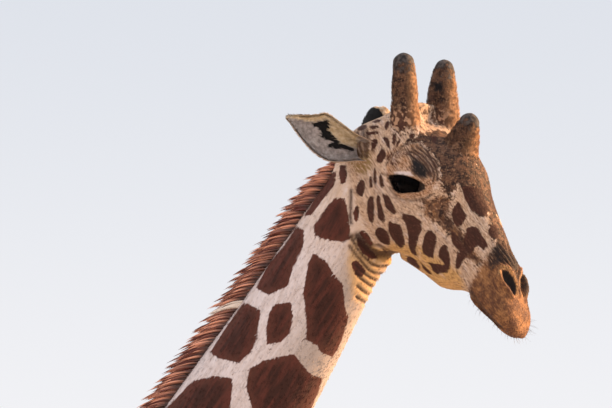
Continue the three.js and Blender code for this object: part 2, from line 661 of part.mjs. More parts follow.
/** The two toes of each foot, under the leg's lower end. */
function toes(name) {
  const table = tables[kindOf(name)];
  const last = table.at.length - 1;
  const ankle = {
    x: table.fore[last] + STRIDE[name] * (1 - HOOF_HEIGHT / HIP_HEIGHT),
    y: sideOf(name) * table.side[last],
  };
  const foot = name.replace("foreleg", "hoof_front").replace("hindleg", "hoof_hind");
  return [1, -1].map((side) => [`${foot}_${side === sideOf(name) ? "outer" : "inner"}`, toe(ankle, side)]);
}

const coat = { color: 0x7a4632, roughness: 0.85 };
const earSkin = { color: 0xb3a79b, roughness: 0.85 };
const hornSkin = { color: 0x5b4336, roughness: 0.8 };
const wetEye = { color: 0x120c0a, roughness: 0.15 };
const hoofHorn = { color: 0x3a322c, roughness: 0.6 };
const longHair = { color: 0x1c1613, roughness: 0.7 };

const giraffe = new THREE.Group();
giraffe.name = "giraffe";

function add(name, shape, look) {
  const mesh = new THREE.Mesh(geometryOf(shape), new THREE.MeshStandardMaterial({ ...look, metalness: 0 }));
  mesh.name = name;
  giraffe.add(mesh);
}

add("torso", torsoNode(), coat);
add("neck", neckNode(), coat);
add("head", headNode(), coat);
add("eye_right", eyeBall(-1, EYE_RADIUS), wetEye);
add("eye_left", eyeBall(1, EYE_RADIUS), wetEye);
for (const [name, form] of Object.entries(HORNS)) {
  add(name, largest(horn(form).subtract(grownSkull)), hornSkin);
}
for (const [name, form] of Object.entries(EARS)) {
  add(name, largest(ear(form).subtract(grownSkull)), earSkin);
}
for (const name of legNames) {
  add(name, legNode(name), coat);
  for (const [toeName, shape] of toes(name)) add(toeName, shape, hoofHorn);
}
add("tail", tailNode(), coat);
add("tail_tuft", largest(join([tuftCore(), ...tuftLocks()])), longHair);

// the origin is on the floor, under the middle of the whole animal
const extent = new THREE.Box3().setFromObject(giraffe);
const middle = extent.getCenter(new THREE.Vector3());
giraffe.position.set(-middle.x, -middle.y, -extent.min.z);

export default giraffe;
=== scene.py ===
"""A life-size adult bull reticulated giraffe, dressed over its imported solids.

Lengths in the tables are millimetres in the animal's own frame: +X forward along the body, +Y to its left, +Z
up from the floor. `to_row` carries points from there to the shared frame, in metres.
"""
import math

import bmesh
import bpy
import numpy as np
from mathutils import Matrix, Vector


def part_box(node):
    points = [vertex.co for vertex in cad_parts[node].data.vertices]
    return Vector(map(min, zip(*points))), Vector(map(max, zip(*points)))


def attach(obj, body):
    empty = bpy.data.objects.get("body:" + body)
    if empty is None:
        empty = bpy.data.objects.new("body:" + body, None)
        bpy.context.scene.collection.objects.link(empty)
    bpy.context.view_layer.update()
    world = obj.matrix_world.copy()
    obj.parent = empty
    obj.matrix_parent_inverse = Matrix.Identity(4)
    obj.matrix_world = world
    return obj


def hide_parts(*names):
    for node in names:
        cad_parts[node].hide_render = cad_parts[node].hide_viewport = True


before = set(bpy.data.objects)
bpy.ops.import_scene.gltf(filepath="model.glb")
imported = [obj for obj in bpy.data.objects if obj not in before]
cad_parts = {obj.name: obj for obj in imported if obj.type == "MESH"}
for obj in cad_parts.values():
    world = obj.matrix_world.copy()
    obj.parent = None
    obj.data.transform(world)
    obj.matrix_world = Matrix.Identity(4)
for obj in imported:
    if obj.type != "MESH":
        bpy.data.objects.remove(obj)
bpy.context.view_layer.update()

# ---- driving dimensions ----

NECK_RISE = 60  # degrees above the horizon
NECK_TOP = np.array([1550.0, 0.0, 4450.0])
HEAD_PIVOT = np.array([1550.0, -40.0, 4450.0])
HEAD_PITCH = 51
HEAD_TURN = 35
HIP_HEIGHT = 2200

# Stacks of rounded sections. `at` runs along the stack; the rest gives each section's middle and reach.
TORSO = {
    "at": [-1030, -1000, -930, -800, -600, -350, -100, 150, 350, 520, 680, 810, 900, 945],
    "top": [2300, 2400, 2500, 2590, 2670, 2740, 2830, 2985, 3105, 3110, 2985, 2800, 2640, 2540],
    "bottom": [2170, 2090, 2030, 1990, 1975, 1945, 1895, 1868, 1880, 1925, 2010, 2130, 2270, 2370],
    "half": [50, 120, 190, 255, 300, 340, 372, 385, 365, 335, 285, 215, 140, 60],
    "square": [2, 2, 2.1, 2.2, 2.2, 2.2, 2.2, 2.1, 2.1, 2.1, 2.1, 2.1, 2, 2],
}
NECK = {
    "at": [-45, -25, 0, 80, 160, 230, 320, 440, 600, 800, 1050, 1350, 1650, 1900, 2080, 2150],
    "up": [18, 50, 70, 84, 93, 99, 108, 119, 137, 158, 180, 206, 236, 268, 290, 240],
    "down": [25, 66, 96, 130, 150, 143, 147, 155, 164, 180, 206, 247, 290, 330, 345, 300],
    "half": [25, 58, 76, 83, 84, 84, 86, 91, 98, 108, 124, 150, 182, 215, 235, 200],
    "side": [44, 42, 40, 35, 30, 26, 20, 12, 5, 0, 0, 0, 0, 0, 0, 0],
}
HEAD = {
    "at": [-92, -80, -50, 0, 50, 100, 150, 200, 250, 300, 352, 400, 428, 455, 490, 530, 563, 586, 600, 606],
    "top": [34, 62, 94, 130, 166, 194, 214, 216, 202, 187, 174, 162, 156, 150, 131, 108, 89, 73, 62, 55],
    "bottom": [0, -30, -66, -88, -100, -104, -100, -90, -70, -54, -37, -3, 12, 7, 11, 17, 23, 30, 37, 43],
    "half": [30, 58, 84, 99, 109, 114, 114, 103, 86, 73, 63, 57, 56, 58, 61, 60, 53, 39, 22, 8],
    "mid": [20, 24, 32, 44, 58, 72, 80, 78, 74, 76, 76, 76, 78, 78, 74, 66, 58, 52, 49, 49],
    "square": [2, 2.1, 2.2, 2.3, 2.35, 2.4, 2.4, 2.4, 2.4, 2.4, 2.4, 2.4, 2.4, 2.4, 2.4, 2.3, 2.2, 2.1, 2, 2],
}
FORELEG = {
    "at": [
        2960, 2900, 2750, 2550, 2350, 2150, 1950, 1750, 1550, 1350, 1200, 1120,
        1060, 990, 920, 820, 600, 400, 330, 275, 225, 180, 140,
    ],
    "fore": [
        400, 420, 470, 540, 590, 590, 572, 565, 568, 573, 580, 588,
        590, 584, 574, 568, 565, 568, 574, 580, 590, 602, 612,
    ],
    "length": [
        30, 80, 130, 170, 185, 165, 132, 104, 86, 72, 64, 70,
        76, 70, 58, 50, 46, 47, 58, 68, 64, 68, 84,
    ],
    "side": [
        235, 238, 243, 248, 248, 240, 228, 220, 215, 212, 210, 209,
        208, 207, 206, 205, 204, 203, 203, 203, 203, 203, 203,
    ],
    "half": [25, 50, 80, 100, 108, 102, 90, 78, 68, 60, 57, 66, 70, 66, 54, 47, 44, 46, 57, 66, 64, 76, 99],
}
HINDLEG = {
    "at": [
        2500, 2450, 2320, 2150, 1980, 1820, 1650, 1450, 1300, 1200, 1130,
        1060, 980, 900, 800, 600, 400, 330, 275, 225, 180, 140,
    ],
    "fore": [
        -700, -700, -690, -665, -655, -675, -722, -800, -860, -905, -928,
        -925, -912, -900, -890, -878, -868, -862, -856, -846, -834, -824,
    ],
    "length": [40, 130, 235, 280, 250, 188, 134, 94, 76, 80, 88, 78, 64, 55, 50, 46, 47, 58, 68, 64, 68, 84],
    "side": [
        200, 205, 215, 222, 222, 220, 216, 212, 209, 208, 207,
        206, 205, 204, 203, 202, 202, 202, 202, 202, 202, 202,
    ],
    "half": [20, 50, 85, 108, 106, 92, 78, 62, 54, 56, 60, 57, 51, 48, 46, 43, 45, 56, 65, 63, 74, 97],
}
LEGS = {
    "foreleg_right": (FORELEG, 70, -1),
    "foreleg_left": (FORELEG, -60, 1),
    "hindleg_right": (HINDLEG, -50, -1),
    "hindleg_left": (HINDLEG, 80, 1),
}
TAIL = {
    "at": [0, 1, 2, 3, 4, 5],
    "x": [-960, -1030, -1085, -1108, -1112, -1106],
    "y": [0, 0, 0, 6, 12, 14],
    "z": [2440, 2370, 2200, 1950, 1700, 1480],
    "radius": [62, 52, 38, 30, 25, 20],
}

# Swellings (+) and hollows (-) of the face: where, reach along the head's axes, and rise. Each has a twin.
FACE = [
    ([150, 104, 138], [58, 34, 24], 15),  # brow over the eye
    ([205, 100, 82], [34, 30, 26], -7),  # in front of the eye
    ([118, 96, 20], [80, 40, 62], 8),  # cheek muscle
    ([262, 84, 118], [60, 26, 30], -8),  # hollow below the forehead
    ([330, 66, 30], [70, 26, 26], -5),  # between the jaw and the tooth row
    ([488, 50, 122], [36, 20, 18], 12),  # wing of the nostril
    ([430, 58, 96], [38, 22, 30], -6),  # behind the nostril
    ([545, 46, 66], [40, 26, 26], 7),  # upper lip
    ([20, 92, 60], [40, 30, 40], 6),  # root of the ear
    ([455, 0, 148], [40, 30, 14], 2),  # end of the nose bone
    ([372, 30, -22], [34, 30, 22], 8),  # chin pad
    ([-24, 0, 118], [38, 64, 60], 88),  # crown between the horns
    ([45, 0, 165], [55, 60, 60], 24),  # front of the crown
    ([-78, 0, 80], [34, 70, 60], 18),  # poll
]
HORNS = {
    "ossicone_right": {"root": [66, -62, 118], "tip": [-91, -81, 253], "radii": [41, 34, 28]},
    "ossicone_left": {"root": [76, 66, 124], "tip": [-90, 79, 262], "radii": [54, 43, 27]},
    "ossicone_median": {"root": [170, 0, 150], "tip": [105, 0, 263], "radii": [76, 46, 28]},
}
EYE = [151, 93, 89]
EYE_RADIUS = 33
LID_RADIUS = 38
EYE_TILT = 38
EYE_FLOOR = 8  # the opening is cut down to here from the eye's middle
# The opening between the lids, along the slit from its back corner: its edges above and below.
EYE_SLIT = {
    "at": [-45, -34, -18, 0, 20, 38, 47],
    "top": [8, 11, 12.5, 13, 11, 6, 1],
    "bottom": [6, -8, -18, -21, -16, -9, -3],
}
NOSTRIL = [507, 50, 117]
MOUTH_LINE = [[386, 58], [412, 36], [450, 24], [500, 25], [560, 34], [600, 43], [630, 50]]
EARS = {
    "ear_right": {"root": [-24, -96, 42], "along": [-104, -156, -40], "open": [0.59, -0.56, 0.57], "curl": 0},
    "ear_left": {"root": [-36, 78, 48], "along": [-193, -12, -19], "open": [-0.12, 0.99, 0.04], "curl": 98},
}

# Fillets between the parts of the flesh, in millimetres.
FILLETS = {"neck": 110, "leg": 70, "tail": 40, "head": 45, "horn": 38, "ear": 26, "lid": 14, "slit": 3}
COAT_DEPTH = ([350, 900, 2200], [2.5, 5, 8])  # by the distance from the head's middle

# The camera looks up a little at the side of the head.
VIEW_TARGET = np.array([1385.0, 0.0, 4370.0])
VIEW_RISE = 8  # degrees
VIEW_DISTANCE = 20000.0
VIEW_STEP = 2.4  # millimetres that one step of the frame spans at the target
FRAME_SIZE = (612, 408)
SENSOR = 36.0

# ---- curves and frames ----


def through(at, value, x):
    """Smooth curve: cubic pieces through (at, value), each station's slope that of its neighbours' chord."""
    at, value = np.asarray(at, float), np.asarray(value, float)
    if at[0] > at[-1]:
        at, value = at[::-1], value[::-1]
    slope = np.empty_like(value)
    slope[1:-1] = (value[2:] - value[:-2]) / (at[2:] - at[:-2])
    slope[0] = (value[1] - value[0]) / (at[1] - at[0])
    slope[-1] = (value[-1] - value[-2]) / (at[-1] - at[-2])
    x = np.clip(x, at[0], at[-1])
    i = np.clip(np.searchsorted(at, x) - 1, 0, len(at) - 2)
    span = at[i + 1] - at[i]
    u = (x - at[i]) / span
    rise = 3 * u**2 - 2 * u**3
    return (
        (1 - rise) * value[i]
        + rise * value[i + 1]
        + span * ((u**3 - 2 * u**2 + u) * slope[i] + (u**3 - u**2) * slope[i + 1])
    )


def smooth_step(low, high, x):
    """0 at low, 1 at high and 3u^2 - 2u^3 of the share u of the way between."""
    u = np.clip((x - low) / (high - low), 0, 1)
    return u * u * (3 - 2 * u)


def unit(v):
    """Vectors divided by their length."""
    return v / np.maximum(np.linalg.norm(v, axis=-1, keepdims=True), 1e-9)


class Stack:
    """The sections of a table, read anywhere along it."""

    def __init__(self, table, steps=800):
        self.start, self.end = min(table["at"]), max(table["at"])
        self.at = np.linspace(self.start, self.end, steps)
        self.columns = {
            name: through(table["at"], values, self.at) for name, values in table.items() if name != "at"
        }

    def __getitem__(self, name):
        return lambda t: np.interp(t, self.at, self.columns[name])

    def past(self, t):
        """Signed distance beyond the nearer end."""
        return np.maximum(self.start - t, t - self.end)


def turned(axis, degrees):
    """Rotation matrix about a coordinate axis."""
    c, s = math.cos(math.radians(degrees)), math.sin(math.radians(degrees))
    if axis == "z":
        return np.array([[c, -s, 0], [s, c, 0], [0, 0, 1]])
    return np.array([[c, 0, s], [0, 1, 0], [-s, 0, c]])


HEAD_AXES = turned("z", -HEAD_TURN) @ turned("y", HEAD_PITCH)
NECK_DOWN = np.array([-math.cos(math.radians(NECK_RISE)), 0, -math.sin(math.radians(NECK_RISE))])
NECK_BACK = np.array([-math.sin(math.radians(NECK_RISE)), 0, math.cos(math.radians(NECK_RISE))])


def in_head(points):
    """Head-frame coordinates of points."""
    return (points - HEAD_PIVOT) @ HEAD_AXES


def from_head(points):
    """Points of the head's frame, in the animal's."""
    return np.asarray(points, float) @ HEAD_AXES.T + HEAD_PIVOT


def in_neck(points):
    """Distance down the neck, to its left and out towards the nape."""
    d = points - NECK_TOP
    return np.stack([d @ NECK_DOWN, d[:, 1], d @ NECK_BACK], axis=1)


def from_neck(t, y, z):
    """Points at distances down the neck, to its left and out towards the nape."""
    return NECK_TOP + np.outer(t, NECK_DOWN) + np.outer(y, [0, 1, 0]) + np.outer(z, NECK_BACK)


# The row's origin differs from the animal's own by a shift that any node gives.
ROW_SHIFT = np.mean(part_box("eye_right"), axis=0) - from_head([[EYE[0], -EYE[1], EYE[2]]])[0] / 1000


def to_row(points):
    """Points in the shared frame, in metres."""
    return np.asarray(points) / 1000 + ROW_SHIFT


# ---- the flesh as a field: negative inside, its zero level is the skin ----

torso_stack = Stack(TORSO)
neck_stack = Stack(NECK)
head_stack = Stack(HEAD)
leg_stacks = {name: (Stack(table), stride, side) for name, (table, stride, side) in LEGS.items()}
tail_steps = np.linspace(0, 5, 19)
tail_path = np.stack([through(TAIL["at"], TAIL[c], tail_steps) for c in "xyz"], axis=1)
tail_radius = through(TAIL["at"], TAIL["radius"], tail_steps)
FAR = 1e4


def smooth_union(a, b, reach):
    """The lower of two fields, with a fillet of about `reach` where they meet."""
    near = np.clip(reach - np.abs(a - b), 0, None)
    return np.minimum(a, b) - near * near / (4 * reach)


def carved(a, b, reach):
    """Field a with the inside of b taken out, its edge rounded over `reach`."""
    return -smooth_union(-a, b, reach)


def rim_reach(y, z, half, up, down, square):
    """How far (y, z) and, along the same ray, the superellipse rim lie from a section's middle."""
    size = np.hypot(y, z) + 1e-6
    reach = np.where(z > 0, up, down)
    rim = (np.abs(y / size / half) ** square + np.abs(z / size / reach) ** square) ** (-1 / square)
    return size, rim


def closed_field(d, past):
    """Field d cut off at its stack's ends: the larger of d and past inside, their hypotenuse outside."""
    return np.minimum(np.maximum(d, past), 0) + np.hypot(np.maximum(d, 0), np.maximum(past, 0))


def section_field(y, z, half, up, down, square, past):
    """Distance past a section's rim along the ray from its middle, closed at the stack's ends."""
    size, rim = rim_reach(y, z, half, up, down, square)
    return closed_field(size - rim, past)


def torso_field(p):
    """The trunk: upright sections along +X."""
    t = p[:, 0]
    top, bottom = torso_stack["top"](t), torso_stack["bottom"](t)
    reach = (top - bottom) / 2
    z = p[:, 2] - bottom - reach
    half, square = torso_stack["half"](t), torso_stack["square"](t)
    return section_field(p[:, 1], z, half, reach, reach, square, torso_stack.past(t))


def neck_field(p):
    """The neck: sections square to its slope, shifted to the head's side near the top."""
    t, y, z = in_neck(p).T
    s = neck_stack
    return section_field(y + s["side"](t), z, s["half"](t), s["up"](t), s["down"](t), 2, s.past(t))


def leg_field(p, name):
    """A leg: level sections, carried forward in proportion to their height below the hip by its stride."""
    s, stride, side = leg_stacks[name]
    z = p[:, 2]
    x = p[:, 0] - s["fore"](z) - stride * np.maximum(0, 1 - z / HIP_HEIGHT)
    y = side * p[:, 1] - s["side"](z)
    reach = s["length"](z)
    return section_field(y, x, s["half"](z), reach, reach, 2, s.past(z))


def tail_field(p):
    """Distance to a chain of tapering capsules."""
    best = np.full(len(p), FAR)
    for a, b, ra, rb in zip(tail_path, tail_path[1:], tail_radius, tail_radius[1:]):
        share = np.clip((p - a) @ (b - a) / ((b - a) @ (b - a)), 0, 1)
        reach = np.linalg.norm(p - a - share[:, None] * (b - a), axis=1)
        best = np.minimum(best, reach - ra - share * (rb - ra))
    return best


def face_rise(x, y, z):
    """Sum of the bell-shaped swellings and hollows."""
    rise = np.zeros(len(x))
    for at, reach, height in FACE:
        for side in (1, -1) if at[1] else (1,):
            d = ((x - at[0]) / reach[0]) ** 2 + ((y - side * at[1]) / reach[1]) ** 2
            d += ((z - at[2]) / reach[2]) ** 2
            rise += height * np.exp(-d)
    return rise


def skull_field(q):
    """The bare head in its own frame: its sections, pushed out by the swellings."""
    t = q[:, 0]
    s = head_stack
    mid, half, square = s["mid"](t), s["half"](t), s["square"](t)
    y, z = q[:, 1], q[:, 2] - mid
    size, rim = rim_reach(y, z, half, s["top"](t) - mid, mid - s["bottom"](t), square)
    rise = face_rise(t, y / size * rim, z / size * rim + mid)
    return closed_field(size - rim - rise, s.past(t))


HORN_TUCK = ([0.25, 0.55], [1.04, 0.78])  # the skin dives under a horn between these shares of its length


def horn_field(q, form):
    """The skin round a horn's root: a tapering cone that gets narrower than the horn and ends inside it."""
    root, along = np.array(form["root"], float), np.subtract(form["tip"], form["root"])
    length = np.linalg.norm(along)
    d = (q - root) / length
    share = d @ along / length
    reach = np.linalg.norm(q - root - share[:, None] * along, axis=1)
    radius = through([0, 0.5, 1], form["radii"], np.clip(share, 0, 1)) * np.interp(share, *HORN_TUCK)
    return closed_field(reach - radius, np.maximum(-share, share - HORN_TUCK[0][-1]) * length)


def eye_axes(q, side):
    """Coordinates about one eye: along the slit, out of the head, and across the slit."""
    d = (q - [EYE[0], side * EYE[1], EYE[2]]) @ turned("y", -EYE_TILT)
    d[:, 1] *= side
    return d


def from_eye(d, side):
    """Points about one eye, in the animal's frame."""
    d = d * [1, side, 1]
    return from_head(d @ turned("y", -EYE_TILT).T + [EYE[0], side * EYE[1], EYE[2]])


def slit_field(d):
    """The opening between the lids: between its two edges, as a prism out of the head from EYE_FLOOR."""
    at = EYE_SLIT["at"]
    over = d[:, 2] - through(at, EYE_SLIT["top"], d[:, 0])
    under = through(at, EYE_SLIT["bottom"], d[:, 0]) - d[:, 2]
    edge = np.maximum.reduce([over, under, at[0] - d[:, 0], d[:, 0] - at[-1]])
    return np.maximum(edge * 0.75, EYE_FLOOR - d[:, 1])


def ear_frame(form):
    """Unit vectors along an ear, out of its cup and across it to its upper edge, in the head's frame."""
    along, front = unit(np.array(form["along"], float)), np.array(form["open"], float)
    front = unit(front - along * (front @ along))
    return along, front, np.cross(along, front) * -np.sign(form["root"][1])


EAR_STALK = {"out": 20, "up": 9, "half": [26, 43], "from": -14, "end": 24, "back": 90}


def ear_stalk_field(q, form):
    """The flat stalk that carries an ear: an elliptic tube round the base of the cup with a rounded end."""
    along, front, across = ear_frame(form)
    d = q - np.array(form["root"], float)
    half = EAR_STALK["half"]
    end = np.maximum(d @ along - EAR_STALK["from"], 0) / EAR_STALK["end"]
    out = (d @ front - EAR_STALK["out"]) / half[0]
    side = (d @ across - EAR_STALK["up"]) / half[1]
    size = np.sqrt(out * out + side * side + end * end)
    return closed_field((size - 1) * half[0], -d @ along - EAR_STALK["back"])


LIP_GROOVE = {"depth": 5, "half": 4, "within": 40}  # cut along the line of the mouth, near the skin only


def off_mouth(q):
    """Height over or under the line of the mouth, both positive."""
    at, height = np.array(MOUTH_LINE, float).T
    return np.abs(q[:, 2] - through(at, height, q[:, 0]))


def head_field(p):
    """Skull, horn roots, ear stalks and lids, with the eye openings and the line of the mouth."""
    q = in_head(p)
    f = skull_field(q)
    for form in HORNS.values():
        f = smooth_union(f, horn_field(q, form), FILLETS["horn"])
    for form in EARS.values():
        f = smooth_union(f, ear_stalk_field(q, form), FILLETS["ear"])
    for side in (1, -1):
        d = eye_axes(q, side)
        f = smooth_union(f, np.linalg.norm(d, axis=1) - LID_RADIUS, FILLETS["lid"])
        f = carved(f, slit_field(d), FILLETS["slit"])
    away = off_mouth(q) + 2 * np.maximum(MOUTH_LINE[0][0] - q[:, 0], 0)
    groove = LIP_GROOVE["depth"] * np.exp(-((away / LIP_GROOVE["half"]) ** 2))
    return f + groove * (np.abs(f) < LIP_GROOVE["within"])


def within(p, ball, field):
    """A field inside a ball only: elsewhere the distance beyond a smaller ball about the same middle."""
    middle, reach, far = ball
    d = np.linalg.norm(p - middle, axis=1)
    f = d - far
    near = d < reach
    f[near] = field(p[near])
    return f


HEAD_MIDDLE = from_head([[230, 0, 70]])[0]
HEAD_BALL = (HEAD_MIDDLE, 620, 560)
TAIL_BALL = (np.array([-1080, 0, 1960]), 700, 620)


def flesh(p):
    """The whole animal's flesh, less the depth of its coat."""
    f = smooth_union(torso_field(p), neck_field(p), FILLETS["neck"])
    for name in LEGS:
        f = smooth_union(f, leg_field(p, name), FILLETS["leg"])
    f = smooth_union(f, within(p, TAIL_BALL, tail_field), FILLETS["tail"])
    f = smooth_union(f, within(p, HEAD_BALL, head_field), FILLETS["head"])
    return f + np.interp(np.linalg.norm(p - HEAD_MIDDLE, axis=1), *COAT_DEPTH)


# ---- a level surface as a mesh ----

WARP_REACH = 6000  # how far from its middle a warp is worked out
BLOCK, LAST_BLOCK = 16, 4  # cells along the side of the first and the last blocks that are searched
MARGIN = 300.0  # blocks are kept this far beyond the box


class Warp:
    """Space drawn together with distance from a middle, so that unit cells are finest there."""

    def __init__(self, middle, distance, edge):
        self.middle = middle
        self.reach = np.linspace(0, WARP_REACH, WARP_REACH + 1)
        steps = 1 / np.interp(self.reach, distance, edge)
        self.cells = np.concatenate([[0], np.cumsum((steps[1:] + steps[:-1]) / 2)])

    def cells_of(self, p):
        """Lattice coordinates of points."""
        d = p - self.middle
        r = np.linalg.norm(d, axis=1, keepdims=True) + 1e-9
        return d * np.interp(r, self.reach, self.cells) / r

    def points_of(self, u):
        """Points at lattice coordinates."""
        r = np.linalg.norm(u, axis=1, keepdims=True) + 1e-9
        return u * np.interp(r, self.cells, self.reach) / r + self.middle

    def edge_at(self, p):
        """Length of a cell's longest edge: the larger of its edges outwards and across."""
        r = np.linalg.norm(p - self.middle, axis=1)
        outwards = np.gradient(self.reach, self.cells)[np.clip(r.astype(int), 0, WARP_REACH)]
        return np.maximum(outwards, r / (np.interp(r, self.reach, self.cells) + 1e-9))


def lattice(n):
    """The corners of a cube of n cells a side."""
    return np.stack(np.meshgrid(*[np.arange(n)] * 3, indexing="ij"), axis=-1).reshape(-1, 3)


def crossed_blocks(field, warp, low, high):
    """Corners of the last blocks that a field's zero level may cross. Blocks are split in eight, and left out
    where their middle lies farther from the level than their own reach."""
    corners = np.array([np.where(pick, high, low) for pick in lattice(2)])
    reach = np.abs(warp.cells_of(corners)).max() * 1.2
    count = int(np.ceil(2 * reach / BLOCK)) + 2
    blocks = (lattice(count) - count // 2) * BLOCK
    middle = warp.points_of(blocks + BLOCK / 2)
    blocks = blocks[np.all((middle > low - MARGIN) & (middle < high + MARGIN), axis=1)]
    size = BLOCK
    while True:
        middle = warp.points_of(blocks + size / 2)
        blocks = blocks[np.abs(field(middle)) < 1.9 * size / 2 * math.sqrt(3) * warp.edge_at(middle)]
        if size == LAST_BLOCK:
            return blocks
        size //= 2
        blocks = (blocks[:, None] + lattice(2)[None] * size).reshape(-1, 3)


def crossing_means(value, block, corner):
    """Where the level crosses each cell's edges, on the average and from the cell's corner: at the share of
    an edge where a straight line between the field's values at its ends is zero."""
    total, hits = np.zeros((len(corner), 3)), np.zeros(len(corner))
    for axis in range(3):
        step = np.eye(3, dtype=int)[axis]
        for pair in ([0, 0], [0, 1], [1, 0], [1, 1]):
            offset = np.insert(pair, axis, 0)
            start, end = corner + offset, corner + offset + step
            va, vb = value[block, *start.T], value[block, *end.T]
            hit = (va < 0) != (vb < 0)
            share = np.where(hit, va / np.where(hit, va - vb, 1), 0)
            total += hit[:, None] * (offset + share[:, None] * step)
            hits += hit
    return total / hits[:, None]


def edge_quads(inside, block, corner, keys, weights):
    """A quad facing out round each lattice edge that the level crosses, between the four cells that share it.
    `keys` number the cells in order, and `weights` are the steps from one number to a neighbour's."""
    quads = []
    for axis in range(3):
        end = corner + np.eye(3, dtype=int)[axis]
        here = inside[block, *corner.T]
        hit = np.nonzero(here != inside[block, *end.T])[0]
        b, c = weights[(axis + 1) % 3], weights[(axis + 2) % 3]
        ring = keys[hit][:, None] - np.array([0, b, b + c, c])
        found = np.clip(np.searchsorted(keys, ring), 0, len(keys) - 1)
        whole = np.all(keys[found] == ring, axis=1)
        found, turn = found[whole], here[hit[whole]]
        quads.append(np.where(turn[:, None], found, found[:, ::-1]))
    return np.concatenate(quads)


def level_surface(field, warp, low, high):
    """Points and quads of a field's zero level: a point in each crossed cell, at the mean of its edges'
    crossings, and a quad round each crossed edge."""
    blocks = crossed_blocks(field, warp, low, high)
    start = blocks.min() - BLOCK
    stride = blocks.max() - start + 2 * BLOCK
    weights = np.array([stride * stride, stride, 1])
    n = LAST_BLOCK
    keys = (blocks[:, None] + lattice(n + 1)[None] - start) @ weights
    unique, place = np.unique(keys, return_inverse=True)
    spots = np.stack([unique // weights[0], unique // stride % stride, unique % stride], axis=1) + start
    value = field(warp.points_of(spots.astype(float)))[place].reshape(-1, n + 1, n + 1, n + 1)

    inside = value < 0
    cube = [inside[:, i : i + n, j : j + n, k : k + n] for i, j, k in lattice(2)]
    block, *corner = np.nonzero(np.any(cube, axis=0) & ~np.all(cube, axis=0))
    corner = np.stack(corner, axis=1)
    cell = blocks[block] + corner
    points = cell + crossing_means(value, block, corner)
    keys = (cell - start) @ weights
    order = np.argsort(keys)
    quads = edge_quads(inside, block[order], corner[order], keys[order], weights)
    return warp.points_of(points[order]), quads


def gradient(field, p, step=1.0):
    """A field's slope along each axis: half its difference between a step forward and a step back."""
    f = [field(p + step * axis) - field(p - step * axis) for axis in np.eye(3)]
    return np.stack(f, axis=1) / (2 * step)


def settle(field, p, rounds=3, most=6.0):
    """Newton steps that carry points onto the zero level, each no longer than `most`."""
    for _ in range(rounds):
        g = gradient(field, p)
        move = -field(p)[:, None] * g / np.maximum((g * g).sum(axis=1, keepdims=True), 1e-3)
        size = np.linalg.norm(move, axis=1, keepdims=True)
        p = p + move * np.minimum(1, most / np.maximum(size, 1e-9))
    return p


# ---- meshes ----


def store(mesh, name, values):
    """Keeps a number or a vector for each vertex."""
    values = np.asarray(values, np.float32)
    kind, key = ("FLOAT", "value") if values.ndim == 1 else ("FLOAT_VECTOR", "vector")
    mesh.attributes.new(name, kind, "POINT").data.foreach_set(key, values.ravel())


def piece(name, points, faces, replaces, marks=None):
    """A mesh object from points in the row's metres, faces of one size and marks for its points, riding on
    the body."""
    mesh = bpy.data.meshes.new(name)
    points, faces = np.asarray(points, np.float32), np.asarray(faces, np.int32)
    mesh.vertices.add(len(points))
    mesh.vertices.foreach_set("co", points.ravel())
    mesh.loops.add(faces.size)
    mesh.loops.foreach_set("vertex_index", faces.ravel())
    mesh.polygons.add(len(faces))
    mesh.polygons.foreach_set("loop_start", np.arange(0, faces.size, faces.shape[1], dtype=np.int32))
    mesh.polygons.foreach_set("use_smooth", np.ones(len(faces), bool))
    mesh.update(calc_edges=True)
    mesh.validate()
    made = bpy.data.objects.new(name, mesh)
    bpy.context.scene.collection.objects.link(made)
    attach(made, "root")
    if replaces:
        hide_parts(*replaces)
    for mark, values in (marks or {}).items():
        store(mesh, mark, values)
    return made


# ---- where things lie in the camera's frame ----

VIEW_AHEAD = np.array([0, math.cos(math.radians(VIEW_RISE)), math.sin(math.radians(VIEW_RISE))])
VIEW_UP = np.array([0, -math.sin(math.radians(VIEW_RISE)), math.cos(math.radians(VIEW_RISE))])


def in_view(p):
    """Steps across and down the frame at which points appear."""
    d = p - (VIEW_TARGET - VIEW_DISTANCE * VIEW_AHEAD)
    scale = VIEW_DISTANCE / (d @ VIEW_AHEAD) / VIEW_STEP
    return np.stack([FRAME_SIZE[0] / 2 + d[:, 0] * scale, FRAME_SIZE[1] / 2 - (d @ VIEW_UP) * scale], axis=1)


REGION_BLEND = 15.0  # millimetres over which one region passes into the next


def regions(p):
    """How far each point belongs to the head, neck, trunk, legs and tail: weights that sum to one and fall
    with the height of a region's field above the lowest."""
    fields = [
        within(p, HEAD_BALL, lambda v: skull_field(in_head(v))),
        neck_field(p),
        torso_field(p),
        np.min([leg_field(p, name) for name in LEGS], axis=0),
        tail_field(p),
    ]
    weights = np.exp(-np.clip(np.array(fields) - np.min(fields, axis=0), 0, 600) / REGION_BLEND)
    return weights / weights.sum(axis=0)


def near_side(p, weights):
    """Points of the animal's left carried to their twins on its right, across the plane of the head or
    neck."""
    q = in_head(p)
    q[:, 1] = -np.abs(q[:, 1])
    t, y, z = in_neck(p).T
    side = neck_stack["side"](t)
    twin = from_neck(t, -np.abs(y + side) - side, z)
    head = (weights[0] / (weights[0] + weights[1] + 1e-9))[:, None]
    return head * from_head(q) + (1 - head) * twin


